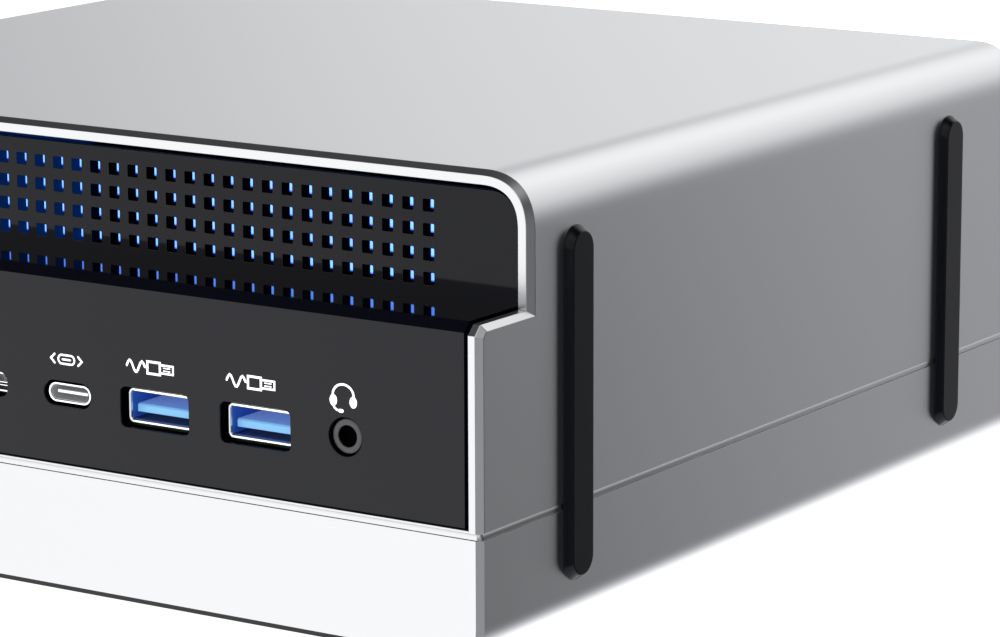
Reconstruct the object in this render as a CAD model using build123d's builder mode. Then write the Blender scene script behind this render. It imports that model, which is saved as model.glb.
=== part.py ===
"""Compact desktop computer that lies flat on four pads or stands on the strips of one side.

Millimetres. +X is to the right, +Y to the back, +Z up. The origin is the middle of the
footprint, on the surface that the computer rests on.
"""

import os

from build123d import *

os.makedirs("parts", exist_ok=True)

# --- Driving dimensions -------------------------------------------------------------------
WIDTH = 195.4
DEPTH = 187.0
TOP = 77.5
FOOT_HEIGHT = 1.0
PLATE_EDGE = 0.6          # part of the bottom plate that shows below the front
SEAM_LOW = 21.1           # top of the base shell
SEAM_HIGH = 22.2          # bottom of the upper shell
WALL = 2.33               # wall of both shells
RIM_CHAMFER = 1.0
TOP_RADIUS = 8.0
LOW_RADIUS = 5.6          # rounding under the base shell's sides
LIP = 8.0                 # how far the base shell reaches in under the computer
STEP_TOP = 55.7           # height of the upper shell's step
STEP_DEPTH = 14.43        # how far the front is set back above the step
STEP_CUT = 1.6            # 45 degree cut on the step's front edge
RUN_GAP = 0.3             # air between parts that move past each other

RIGHT = WIDTH / 2
FRONT = -DEPTH / 2
BACK = DEPTH / 2
STEP_FACE = FRONT + STEP_DEPTH
INNER = RIGHT - WALL      # inner face of the side walls
BASE_LOW = FOOT_HEIGHT + PLATE_EDGE

# Front bezel
PANEL_RECESS = 0.4
PANEL = FRONT + PANEL_RECESS           # face of the lower panel
PANEL_THICK = 2.0
GRILLE = STEP_FACE + 0.47              # face of the grille
GRILLE_THICK = 1.95
BEZEL_GAP = 0.77                       # dark joint round the bezel
BEZEL_STEP = 1.0                       # depth of that joint, down to the bezel's flange
FLANGE_FIT = 0.17
PANEL_LOW = 22.9
SHELF = 55.96
SHELF_THICK = 2.0
HOLE_W, HOLE_H = 2.07, 2.15
PITCH_X, PITCH_Z = 4.0, 4.01
COLUMNS, ROWS = 40, 4
GRILLE_MID_Z = 64.77

# Front connectors: the middle of each, along X
PORT_Z = 34.24
IO_BOARD_TOP = PORT_Z - 2.85
IO_BOARD_THICK = 1.2
JACK_X, JACK_Z = 71.8, 34.9
JACK_BORE_R = 1.8
USB_A_X = (53.9, 33.3)
USB_A_W, USB_A_H, USB_A_LONG = 13.1, 5.7, 13.5
USB_C_X, USB_C_Z = 14.6, 34.63
USB_C_W, USB_C_H, USB_C_LONG = 8.94, 3.26, 7.4
PORT_RECESS = 1.7
CARD_X, CARD_Z, CARD_W = -11.6, 34.7, 26.4
BUTTON_X, BUTTON_Z, BUTTON_R = -66.0, 40.2, 6.5
BUTTON_TRAVEL = 0.6
LENS_X = -51.0

# Inside
TRAY_LOW, TRAY_THICK = 3.4, 1.2
TRAY_HALF = 91.8
BOARD_LOW, BOARD_THICK = 12.0, 1.6
BOARD_HALF, BOARD_FRONT, BOARD_BACK = 85.0, -78.0, 88.0
SHEET = 1.2
PLATFORM_LOW, PLATFORM_THICK = 30.4, 1.6
FAN_SIZE, FAN_HEIGHT = 82.0, 26.0
FAN_X, FAN_Y = 45.0, -5.0
SPINDLE_R = 2.0
FIN_FIRST, FIN_COUNT, FIN_PITCH = 31.0, 18, 2.8
PIPE_R = 3.0
PIPE_Z = 42.0

TRAY_TOP = TRAY_LOW + TRAY_THICK
BOARD_TOP = BOARD_LOW + BOARD_THICK
PLATFORM_TOP = PLATFORM_LOW + PLATFORM_THICK
REAR_FACE = BACK - 0.6
REAR_THICK = 2.0
PORT_END = BACK - 1.2                  # mouths of the rear connectors

# Strips that the computer stands on when it is upright
STRIP_Y = (FRONT + 27.5, FRONT + 157.2)
STRIP_LOW, STRIP_HIGH = 8.6, 67.6
STRIP_HALF, STRIP_OUT, STRIP_DRAFT = 3.6, 1.6, 22.0

PADS = ((-76, -72), (76, -72), (-76, 72), (76, 72))
PAD_R = 9.0
BOARD_POSTS = ((-78, -70), (78, -70), (-78, 80), (78, 80))
PLATE_SCREWS = ((-84, -50), (84, -50), (-84, 50), (84, 50))
REAR_SCREWS = ((-88, 27), (88, 27), (-86, 69), (86, 69))


def block(x_span, y_span, z_span, mode=Mode.ADD):
    """Add or cut a box given by its low and high coordinate along each axis."""
    spans = (x_span, y_span, z_span)
    middle = [(low + high) / 2 for low, high in spans]
    with Locations(tuple(middle)):
        Box(*[high - low for low, high in spans], mode=mode)


def post(centre, z_span, radius, mode=Mode.ADD):
    """Add or cut an upright cylinder."""
    with Locations((*centre, z_span[0])):
        Cylinder(radius, z_span[1] - z_span[0], align=(Align.CENTER, Align.CENTER, Align.MIN), mode=mode)


def pin(centre, y_span, radius, mode=Mode.ADD):
    """Add or cut a cylinder that runs from front to back; centre is its (x, z)."""
    with BuildSketch(Plane.XZ.offset(-y_span[1])) as disc:
        with Locations(centre):
            Circle(radius)
    extrude(disc.sketch, amount=y_span[1] - y_span[0], mode=mode)


def slot_block(centre, size, radius, y_span, mode=Mode.ADD):
    """Add or cut a block with rounded corners that runs from front to back."""
    with BuildSketch(Plane.XZ.offset(-y_span[1])) as profile:
        with Locations(centre):
            RectangleRounded(*size, radius)
    extrude(profile.sketch, amount=y_span[1] - y_span[0], mode=mode)


def outline(points, half, mode=Mode.ADD):
    """Draw a closed outline of (y, z) points and extrude it to both sides."""
    with BuildSketch(Plane.YZ) as profile:
        with BuildLine():
            Polyline(*points, close=True)
        make_face()
    extrude(profile.sketch, amount=half, both=True, mode=mode)


# --- Casing -------------------------------------------------------------------------------
with BuildPart() as upper_shell:
    outline([(FRONT, SEAM_HIGH), (FRONT, STEP_TOP - STEP_CUT), (FRONT + STEP_CUT, STEP_TOP), (STEP_FACE, STEP_TOP),
             (STEP_FACE, TOP), (BACK, TOP), (BACK, SEAM_HIGH)], RIGHT)
    fillet(upper_shell.edges().filter_by(Axis.Y).group_by(Axis.Z)[-1], TOP_RADIUS)
    cross_edges = upper_shell.edges().filter_by(Axis.X).filter_by_position(Axis.Z, 0, TOP - 1)
    seam_edges = upper_shell.edges().filter_by(Axis.Y).filter_by_position(Axis.Z, STEP_TOP + 1, TOP)
    foot_edges = upper_shell.edges().group_by(Axis.Z)[0]
    rim_edges = upper_shell.edges() - cross_edges - seam_edges - foot_edges
    chamfer(rim_edges, RIM_CHAMFER)
    with BuildSketch(Plane.XZ.offset(BACK + 1)):
        with BuildLine():
            FilletPolyline((-INNER, 0), (-INNER, TOP - WALL), (INNER, TOP - WALL), (INNER, 0),
                           radius=TOP_RADIUS - WALL)
            Line((INNER, 0), (-INNER, 0))
        make_face()
    extrude(amount=-DEPTH - 2, mode=Mode.SUBTRACT)
    block((-INNER, INNER), (FRONT, FRONT + WALL), (SEAM_HIGH, SEAM_HIGH + 0.42))
upper_shell.part.label = "upper_shell"
export_step(upper_shell.part, "parts/upper_shell.step")

# The base shell is a channel with rounded lower corners and lips that reach in under the computer.
with BuildPart() as base_shell:
    with BuildSketch(Plane.XZ.offset(-BACK)):
        with Locations((0, (FOOT_HEIGHT + SEAM_LOW) / 2)):
            Rectangle(WIDTH, SEAM_LOW - FOOT_HEIGHT)
    extrude(amount=DEPTH)
    fillet(base_shell.edges().filter_by(Axis.Y).group_by(Axis.Z)[0], LOW_RADIUS)
    side_rims = base_shell.edges().filter_by(Axis.Y, reverse=True).filter_by(Axis.X, reverse=True)
    chamfer(side_rims, RIM_CHAMFER)
    with BuildSketch(Plane.XZ.offset(-BACK - 1)):
        with BuildLine():
            FilletPolyline((-INNER, SEAM_LOW + 1), (-INNER, FOOT_HEIGHT + WALL), (INNER, FOOT_HEIGHT + WALL),
                           (INNER, SEAM_LOW + 1), radius=LOW_RADIUS - WALL)
            Line((INNER, SEAM_LOW + 1), (-INNER, SEAM_LOW + 1))
        make_face()
    extrude(amount=DEPTH + 1 - WALL, mode=Mode.SUBTRACT)
    block((-RIGHT + LIP, RIGHT - LIP), (FRONT - 1, BACK + 1), (0, BASE_LOW), mode=Mode.SUBTRACT)
    block((-RIGHT + LIP, RIGHT - LIP), (FRONT + WALL, BACK + 1), (0, TRAY_LOW), mode=Mode.SUBTRACT)
base_shell.part.label = "base_shell"
export_step(base_shell.part, "parts/base_shell.step")

# The bead fills the seam between the shells and stands a little behind their faces.
BEAD_INSET = 0.45
BEAD_ROUND = 0.5
with BuildPart() as seam_bead:
    block((-RIGHT + BEAD_INSET, RIGHT - BEAD_INSET), (FRONT + BEAD_INSET, BACK - 1.5), (SEAM_LOW, SEAM_HIGH))
    bead_rim = seam_bead.edges().filter_by(Axis.Z, reverse=True)
    fillet(bead_rim - bead_rim.group_by(Axis.Y)[-1], BEAD_ROUND)
    block((-INNER, INNER), (FRONT + WALL, BACK), (SEAM_LOW - 1, SEAM_HIGH + 1), mode=Mode.SUBTRACT)
seam_bead.part.label = "seam_bead"
export_step(seam_bead.part, "parts/seam_bead.step")

PLATE_INSET = 0.5
PLATE_HALF = RIGHT - LIP - 0.2
with BuildPart() as bottom_plate:
    block((-PLATE_HALF, PLATE_HALF), (FRONT + PLATE_INSET, BACK - PLATE_INSET), (FOOT_HEIGHT, BASE_LOW))
    block((-PLATE_HALF, PLATE_HALF), (FRONT + WALL + RUN_GAP, BACK - PLATE_INSET), (BASE_LOW, TRAY_LOW))
    with BuildSketch(Plane.XY.offset(FOOT_HEIGHT)):
        with GridLocations(7, 34, 17, 3):
            SlotOverall(26, 3.2, rotation=90)
    extrude(amount=TRAY_LOW - FOOT_HEIGHT, mode=Mode.SUBTRACT)
    for spot in PLATE_SCREWS:
        post(spot, (FOOT_HEIGHT, TRAY_LOW), 1.7, mode=Mode.SUBTRACT)
        post(spot, (FOOT_HEIGHT, FOOT_HEIGHT + 1.2), 3.2, mode=Mode.SUBTRACT)
bottom_plate.part.label = "bottom_plate"
export_step(bottom_plate.part, "parts/bottom_plate.step")

with BuildPart() as foot_pads:
    for spot in PADS:
        post(spot, (0, FOOT_HEIGHT), PAD_R)
    chamfer(foot_pads.edges().group_by(Axis.Z)[0], 0.3)
foot_pads.part.label = "foot_pads"
export_step(foot_pads.part, "parts/foot_pads.step")

for place, strip_y in zip(("front", "rear"), STRIP_Y):
    with BuildPart() as side_strip:
        with BuildSketch(Plane.YZ.offset(RIGHT)):
            with Locations((strip_y, (STRIP_LOW + STRIP_HIGH) / 2)):
                SlotOverall(STRIP_HIGH - STRIP_LOW, 2 * STRIP_HALF, rotation=90)
        extrude(amount=STRIP_OUT, taper=STRIP_DRAFT)
        fillet(side_strip.edges().group_by(Axis.X)[-1], 0.25)
    side_strip.part.label = f"side_strip_{place}"
    export_step(side_strip.part, f"parts/side_strip_{place}.step")

# --- Front: the grille stands on the shelf of the lower panel ------------------------------
PANEL_BACK = PANEL + PANEL_THICK
GRILLE_BACK = GRILLE + GRILLE_THICK
SHELF_LOW = SHELF - SHELF_THICK
LEDGE_BACK = GRILLE_BACK + 4.7
FACE_HALF = INNER - BEZEL_GAP
FACE_TOP = TOP - WALL - BEZEL_GAP
FLANGE_HALF = INNER - FLANGE_FIT
FLANGE_TOP = TOP - WALL - FLANGE_FIT
with BuildPart() as front_grille:
    for half, high, depth in ((FACE_HALF, FACE_TOP, GRILLE_THICK),
                              (FLANGE_HALF, FLANGE_TOP, GRILLE_THICK - BEZEL_STEP)):
        with BuildSketch(Plane.XZ.offset(-GRILLE_BACK)):
            with BuildLine():
                FilletPolyline((-half, SHELF), (-half, high), (half, high), (half, SHELF),
                               radius=TOP_RADIUS - TOP + high)
                Line((half, SHELF), (-half, SHELF))
            make_face()
        extrude(amount=depth)
    with BuildSketch(Plane.XZ.offset(-GRILLE_BACK)):
        with Locations((0, GRILLE_MID_Z)):
            with GridLocations(PITCH_X, PITCH_Z, COLUMNS, ROWS):
                Rectangle(HOLE_W, HOLE_H)
    extrude(amount=GRILLE_THICK, mode=Mode.SUBTRACT)
front_grille.part.label = "front_grille"
export_step(front_grille.part, "parts/front_grille.step")

with BuildPart() as front_panel:
    outline([(PANEL, PANEL_LOW), (PANEL, SHELF - STEP_CUT), (PANEL + STEP_CUT, SHELF), (LEDGE_BACK, SHELF),
             (LEDGE_BACK, SHELF_LOW), (PANEL_BACK + BEZEL_STEP, SHELF_LOW), (PANEL_BACK, SHELF_LOW - BEZEL_STEP),
             (PANEL_BACK, PANEL_LOW)], FACE_HALF)
    block((-FLANGE_HALF, FLANGE_HALF), (PANEL + BEZEL_STEP, GRILLE_BACK), (SHELF_LOW, SHELF - BEZEL_STEP))
    block((-FLANGE_HALF, FLANGE_HALF), (PANEL + BEZEL_STEP, PANEL_BACK), (PANEL_LOW - 0.1, SHELF_LOW))
    panel_span = (PANEL - 1, PANEL_BACK + 0.5)
    pin((JACK_X, JACK_Z), panel_span, 3.2, mode=Mode.SUBTRACT)
    for port_x in USB_A_X:
        slot_block((port_x, PORT_Z), (14.2, 6.93), 1.0, panel_span, mode=Mode.SUBTRACT)
    slot_block((USB_C_X, USB_C_Z), (10.2, 4.5), 2.2, panel_span, mode=Mode.SUBTRACT)
    slot_block((CARD_X, CARD_Z), (CARD_W, 4.2), 1.6, panel_span, mode=Mode.SUBTRACT)
    pin((BUTTON_X, BUTTON_Z), panel_span, BUTTON_R + RUN_GAP, mode=Mode.SUBTRACT)
    pin((LENS_X, BUTTON_Z), panel_span, 0.8, mode=Mode.SUBTRACT)
front_panel.part.label = "front_panel"
export_step(front_panel.part, "parts/front_panel.step")

with BuildPart() as status_lens:
    pin((LENS_X, BUTTON_Z), (PANEL + 0.1, PANEL_BACK), 0.8)
    pin((LENS_X, BUTTON_Z), (PANEL_BACK, PANEL_BACK + 1), 1.6)
status_lens.part.label = "status_lens"
export_step(status_lens.part, "parts/status_lens.step")

with BuildPart() as power_button:
    pin((BUTTON_X, BUTTON_Z), (PANEL - 0.3, PANEL_BACK + RUN_GAP), BUTTON_R)
    fillet(power_button.edges().group_by(Axis.Y)[0], 0.4)
    pin((BUTTON_X, BUTTON_Z), (PANEL_BACK + RUN_GAP, PANEL_BACK + 1.1), BUTTON_R + 1.3)
    pin((BUTTON_X, BUTTON_Z), (PANEL_BACK + 1.1, PANEL_BACK + 3.1), 2.0)
power_button.part.label = "power_button"
export_step(power_button.part, "parts/power_button.step")

# --- Light behind the grille --------------------------------------------------------------
GUIDE_FRONT = GRILLE_BACK + RUN_GAP
GUIDE_THICK = 2.0
LIGHT_HALF = 90.0
with BuildPart() as light_guide:
    block((-LIGHT_HALF, LIGHT_HALF), (GUIDE_FRONT, GUIDE_FRONT + GUIDE_THICK), (SHELF, 73.4))
light_guide.part.label = "light_guide"
export_step(light_guide.part, "parts/light_guide.step")

LED_FRONT = GUIDE_FRONT + GUIDE_THICK
with BuildPart() as grille_lights:
    with GridLocations(14, 1, 13, 1):
        block((-1.75, 1.75), (LED_FRONT, LED_FRONT + 1), (64, 66.8))
grille_lights.part.label = "grille_lights"
export_step(grille_lights.part, "parts/grille_lights.step")

with BuildPart() as light_board:
    block((-LIGHT_HALF, LIGHT_HALF), (LED_FRONT + 1, LEDGE_BACK), (SHELF, 73.4))
light_board.part.label = "light_board"
export_step(light_board.part, "parts/light_board.step")

# --- Front connectors and their board ------------------------------------------------------
PORT_FRONT = PANEL + PORT_RECESS
IO_FRONT, IO_BACK = PANEL_BACK + RUN_GAP, PANEL_BACK + 16.6
IO_LOW = IO_BOARD_TOP - IO_BOARD_THICK
with BuildPart() as io_board:
    block((-80, 80), (IO_FRONT, IO_BACK), (IO_LOW, IO_BOARD_TOP))
io_board.part.label = "io_board"
export_step(io_board.part, "parts/io_board.step")

with BuildPart() as io_bracket:
    block((-82, 82), (IO_FRONT, IO_BACK), (IO_LOW - SHEET, IO_LOW))
    for leg_x in (-76, 0, 76):
        block((leg_x - 6, leg_x + 6), (IO_FRONT, IO_FRONT + SHEET), (TRAY_TOP, IO_LOW - SHEET))
        block((leg_x - 6, leg_x + 6), (IO_FRONT, IO_FRONT + 9), (TRAY_TOP, TRAY_TOP + SHEET))
io_bracket.part.label = "io_bracket"
export_step(io_bracket.part, "parts/io_bracket.step")

SHELL_SHEET = 0.3
TONGUE_LOW = 0.75          # above the socket's floor
TONGUE_THICK = 1.9
for place, port_x in zip(("right", "left"), USB_A_X):
    port_back = PORT_FRONT + USB_A_LONG
    with BuildPart() as usb_a_shell:
        slot_block((port_x, PORT_Z), (USB_A_W, USB_A_H), 0.7, (PORT_FRONT, port_back))
        slot_block((port_x, PORT_Z), (USB_A_W - 2 * SHELL_SHEET, USB_A_H - 2 * SHELL_SHEET), 0.4,
                   (PORT_FRONT - 1, port_back - SHELL_SHEET), mode=Mode.SUBTRACT)
    usb_a_shell.part.label = f"usb_a_shell_{place}"
    export_step(usb_a_shell.part, f"parts/usb_a_shell_{place}.step")

    floor = IO_BOARD_TOP + SHELL_SHEET
    with BuildPart() as usb_a_tongue:
        slot_block((port_x, PORT_Z), (12.3, 4.9), 0.6, (port_back - 3.3, port_back - SHELL_SHEET))
        block((port_x - 5.6, port_x + 5.6), (PORT_FRONT + 1.2, port_back - 3.3),
              (floor + TONGUE_LOW, floor + TONGUE_LOW + TONGUE_THICK))
    usb_a_tongue.part.label = f"usb_a_tongue_{place}"
    export_step(usb_a_tongue.part, f"parts/usb_a_tongue_{place}.step")

with BuildPart() as usb_c_shell:
    slot_block((USB_C_X, USB_C_Z), (USB_C_W, USB_C_H), USB_C_H / 2 - 0.01, (PORT_FRONT, PORT_FRONT + USB_C_LONG))
    slot_block((USB_C_X, USB_C_Z), (USB_C_W - 0.6, USB_C_H - 0.6), USB_C_H / 2 - 0.31,
               (PORT_FRONT - 1, PORT_FRONT + USB_C_LONG - SHELL_SHEET), mode=Mode.SUBTRACT)
    for leg_x in (USB_C_X - 2.5, USB_C_X + 2.5):
        block((leg_x - 0.5, leg_x + 0.5), (PORT_FRONT + 1, PORT_FRONT + 6),
              (IO_BOARD_TOP, USB_C_Z - USB_C_H / 2 + 0.1))
usb_c_shell.part.label = "usb_c_shell"
export_step(usb_c_shell.part, "parts/usb_c_shell.step")

with BuildPart() as usb_c_tongue:
    block((USB_C_X - 3.35, USB_C_X + 3.35), (PORT_FRONT + 0.8, PORT_FRONT + USB_C_LONG - SHELL_SHEET),
          (USB_C_Z - 0.35, USB_C_Z + 0.35))
    block((USB_C_X - 3.4, USB_C_X + 3.4), (PORT_FRONT + 5.4, PORT_FRONT + USB_C_LONG - SHELL_SHEET),
          (USB_C_Z - 1.2, USB_C_Z + 1.2))
usb_c_tongue.part.label = "usb_c_tongue"
export_step(usb_c_tongue.part, "parts/usb_c_tongue.step")

JACK_LONG = 14.0
with BuildPart() as headset_jack:
    block((JACK_X - 5.5, JACK_X + 5.5), (IO_FRONT, IO_FRONT + 12.5), (IO_BOARD_TOP, JACK_Z + 3.4))
    pin((JACK_X, JACK_Z), (PANEL + 0.6, IO_FRONT), 2.875)
    chamfer(headset_jack.edges().group_by(Axis.Y)[0], 0.2)
    pin((JACK_X, JACK_Z), (PANEL, PANEL + 0.6 + JACK_LONG), JACK_BORE_R, mode=Mode.SUBTRACT)
headset_jack.part.label = "headset_jack"
export_step(headset_jack.part, "parts/headset_jack.step")

CARD_BODY_W, CARD_BODY_H = 25.4, 3.4
with BuildPart() as card_reader:
    slot_block((CARD_X, CARD_Z), (CARD_BODY_W, CARD_BODY_H), 0.5, (PORT_FRONT, PORT_FRONT + 14))
    slot_block((CARD_X, CARD_Z), (24.3, 2.3), 0.3, (PORT_FRONT - 1, PORT_FRONT + 13), mode=Mode.SUBTRACT)
    for side_x in (CARD_X - 11.5, CARD_X + 11.5):
        block((side_x - 1, side_x + 1), (PORT_FRONT + 1, PORT_FRONT + 13),
              (IO_BOARD_TOP, CARD_Z - CARD_BODY_H / 2 + 0.1))
card_reader.part.label = "card_reader"
export_step(card_reader.part, "parts/card_reader.step")

SWITCH_FRONT = PANEL_BACK + 3.2 + BUTTON_TRAVEL
with BuildPart() as power_switch:
    block((BUTTON_X - 3, BUTTON_X + 3), (SWITCH_FRONT + 0.6, SWITCH_FRONT + 4.2), (IO_BOARD_TOP, BUTTON_Z + 3))
    pin((BUTTON_X, BUTTON_Z), (SWITCH_FRONT, SWITCH_FRONT + 0.6), 1.6)
power_switch.part.label = "power_switch"
export_step(power_switch.part, "parts/power_switch.step")

# --- Tray and mainboard --------------------------------------------------------------------
with BuildPart() as chassis_tray:
    block((-TRAY_HALF, TRAY_HALF), (FRONT + WALL + 0.5, REAR_FACE - REAR_THICK - RUN_GAP), (TRAY_LOW, TRAY_TOP))
    for side in (-1, 1):
        wall_x = side * (TRAY_HALF - SHEET / 2)
        block((wall_x - SHEET / 2, wall_x + SHEET / 2), (FRONT + 8, REAR_FACE - 8), (TRAY_TOP, SEAM_LOW - 2))
    with BuildSketch(Plane.XY.offset(TRAY_LOW)):
        with GridLocations(7, 34, 17, 3):
            SlotOverall(26, 3.2, rotation=90)
    extrude(amount=TRAY_THICK, mode=Mode.SUBTRACT)
    for spot in PLATE_SCREWS:
        post(spot, (TRAY_TOP, TRAY_TOP + 4), 3.2)
        post(spot, (TRAY_LOW, TRAY_TOP + 4), 1.55, mode=Mode.SUBTRACT)
chassis_tray.part.label = "chassis_tray"
export_step(chassis_tray.part, "parts/chassis_tray.step")

with BuildPart() as plate_screws:
    for spot in PLATE_SCREWS:
        post(spot, (FOOT_HEIGHT + 0.2, FOOT_HEIGHT + 1.2), 2.9)
        post(spot, (FOOT_HEIGHT + 1.2, TRAY_TOP + 3.5), 1.5)
plate_screws.part.label = "plate_screws"
export_step(plate_screws.part, "parts/plate_screws.step")

with BuildPart() as board_standoffs:
    for spot in BOARD_POSTS:
        with BuildSketch(Plane.XY.offset(TRAY_TOP)):
            with Locations(spot):
                RegularPolygon(3.4, 6)
        extrude(amount=BOARD_LOW - TRAY_TOP)
        post(spot, (BOARD_LOW - 6, BOARD_LOW), 1.55, mode=Mode.SUBTRACT)
board_standoffs.part.label = "board_standoffs"
export_step(board_standoffs.part, "parts/board_standoffs.step")

with BuildPart() as mainboard:
    block((-BOARD_HALF, BOARD_HALF), (BOARD_FRONT, BOARD_BACK), (BOARD_LOW, BOARD_TOP))
    for spot in BOARD_POSTS:
        post(spot, (BOARD_LOW, BOARD_TOP), 1.7, mode=Mode.SUBTRACT)
mainboard.part.label = "mainboard"
export_step(mainboard.part, "parts/mainboard.step")

with BuildPart() as board_screws:
    for spot in BOARD_POSTS:
        post(spot, (BOARD_TOP, BOARD_TOP + 2), 3.0)
        post(spot, (BOARD_LOW - 5, BOARD_TOP), 1.5)
board_screws.part.label = "board_screws"
export_step(board_screws.part, "parts/board_screws.step")

PROCESSOR_Y = 5.0
LID_TOP = BOARD_TOP + 3.6
with BuildPart() as processor:
    block((-20, 20), (PROCESSOR_Y - 20, PROCESSOR_Y + 20), (BOARD_TOP, BOARD_TOP + 1.6))
    block((-17, 17), (PROCESSOR_Y - 17, PROCESSOR_Y + 17), (BOARD_TOP + 1.6, LID_TOP))
processor.part.label = "processor"
export_step(processor.part, "parts/processor.step")

with BuildPart() as power_stages:
    for stage_x in (-39, -31, 31, 39):
        for stage_y in (-10, 0, 10, 20):
            block((stage_x - 3.3, stage_x + 3.3), (stage_y - 3.3, stage_y + 3.3), (BOARD_TOP, BOARD_TOP + 4))
power_stages.part.label = "power_stages"
export_step(power_stages.part, "parts/power_stages.step")

SODIMM_X, SODIMM_Y = (-80.0, -12.4), (-74.0, -44.0)
with BuildPart() as board_sockets:
    block(SODIMM_X, (-44, -37), (BOARD_TOP, BOARD_TOP + 9))
    block((68, 74), (-75, -52), (BOARD_TOP, BOARD_TOP + 4.2))
    block((-56, -50), (-30, -8), (BOARD_TOP, BOARD_TOP + 3.4))
    post((60, 42), (BOARD_TOP, BOARD_TOP + 1.6), 11)
board_sockets.part.label = "board_sockets"
export_step(board_sockets.part, "parts/board_sockets.step")

with BuildPart() as memory_modules:
    for module_z in (BOARD_TOP + 2.6, BOARD_TOP + 6.6):
        block(SODIMM_X, SODIMM_Y, (module_z, module_z + 1.2))
        with Locations(((SODIMM_X[0] + SODIMM_X[1]) / 2, -61, module_z + 1.6)):
            with GridLocations(15, 1, 4, 1):
                Box(9, 13, 0.8)
memory_modules.part.label = "memory_modules"
export_step(memory_modules.part, "parts/memory_modules.step")

SSD_Z = BOARD_TOP + 1.6
with BuildPart() as solid_state_drive:
    block((-12, 68), (-74.5, -52.5), (SSD_Z, SSD_Z + 0.8))
    with Locations((14, -63.5, SSD_Z + 1.5)):
        with GridLocations(24, 1, 2, 1):
            Box(18, 14, 1.4)
solid_state_drive.part.label = "solid_state_drive"
export_step(solid_state_drive.part, "parts/solid_state_drive.step")

with BuildPart() as drive_heatsink:
    block((-10, 64), (-74.5, -52.5), (SSD_Z + 2.2, SSD_Z + 3.4))
    with Locations((27, -63.5, SSD_Z + 5.4)):
        with GridLocations(1, 3, 1, 8):
            Box(74, 0.9, 4)
drive_heatsink.part.label = "drive_heatsink"
export_step(drive_heatsink.part, "parts/drive_heatsink.step")

with BuildPart() as wireless_card:
    block((-82, -56), (-30, -8), (BOARD_TOP + 1.5, BOARD_TOP + 2.3))
    block((-79, -62), (-28, -10), (BOARD_TOP + 2.3, BOARD_TOP + 3.7))
wireless_card.part.label = "wireless_card"
export_step(wireless_card.part, "parts/wireless_card.step")

with BuildPart() as coin_cell:
    post((60, 42), (BOARD_TOP + 1.6, BOARD_TOP + 4.8), 10)
    chamfer(coin_cell.edges(), 0.4)
coin_cell.part.label = "coin_cell"
export_step(coin_cell.part, "parts/coin_cell.step")

# --- Cooler --------------------------------------------------------------------------------
PLATE_TOP = LID_TOP + 8
PIPE_LOW_Z = LID_TOP + 4
PIPES = {"inner": (7.0, 62.0, 38.0), "outer": (19.0, 77.0, 55.0)}   # x, y of the top run, y of the first bend
with BuildPart() as cold_plate:
    block((-27, 27), (PROCESSOR_Y - 22, PROCESSOR_Y + 22), (LID_TOP, PLATE_TOP))
    for pipe_x, _, _ in PIPES.values():
        for side in (-1, 1):
            pin((side * pipe_x, PIPE_LOW_Z), (PROCESSOR_Y - 23, PROCESSOR_Y + 23), PIPE_R + 0.05, mode=Mode.SUBTRACT)
cold_plate.part.label = "cold_plate"
export_step(cold_plate.part, "parts/cold_plate.step")

with BuildPart() as platform:
    block((-88, 88), (-48, 88), (PLATFORM_LOW, PLATFORM_TOP))
    block((-27, 27), (37.5, 90), (PLATFORM_LOW, PLATFORM_TOP), mode=Mode.SUBTRACT)
    block((-27, 27), (-30, 30), (PLATFORM_LOW, PLATFORM_TOP), mode=Mode.SUBTRACT)
    for leg_x in (-80, 80):
        for leg_y in (-33.5, 14, 64):
            block((leg_x - 2.5, leg_x + 2.5), (leg_y - 3, leg_y + 3), (BOARD_TOP, PLATFORM_LOW))
platform.part.label = "cooler_platform"
export_step(platform.part, "parts/cooler_platform.step")

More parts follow.
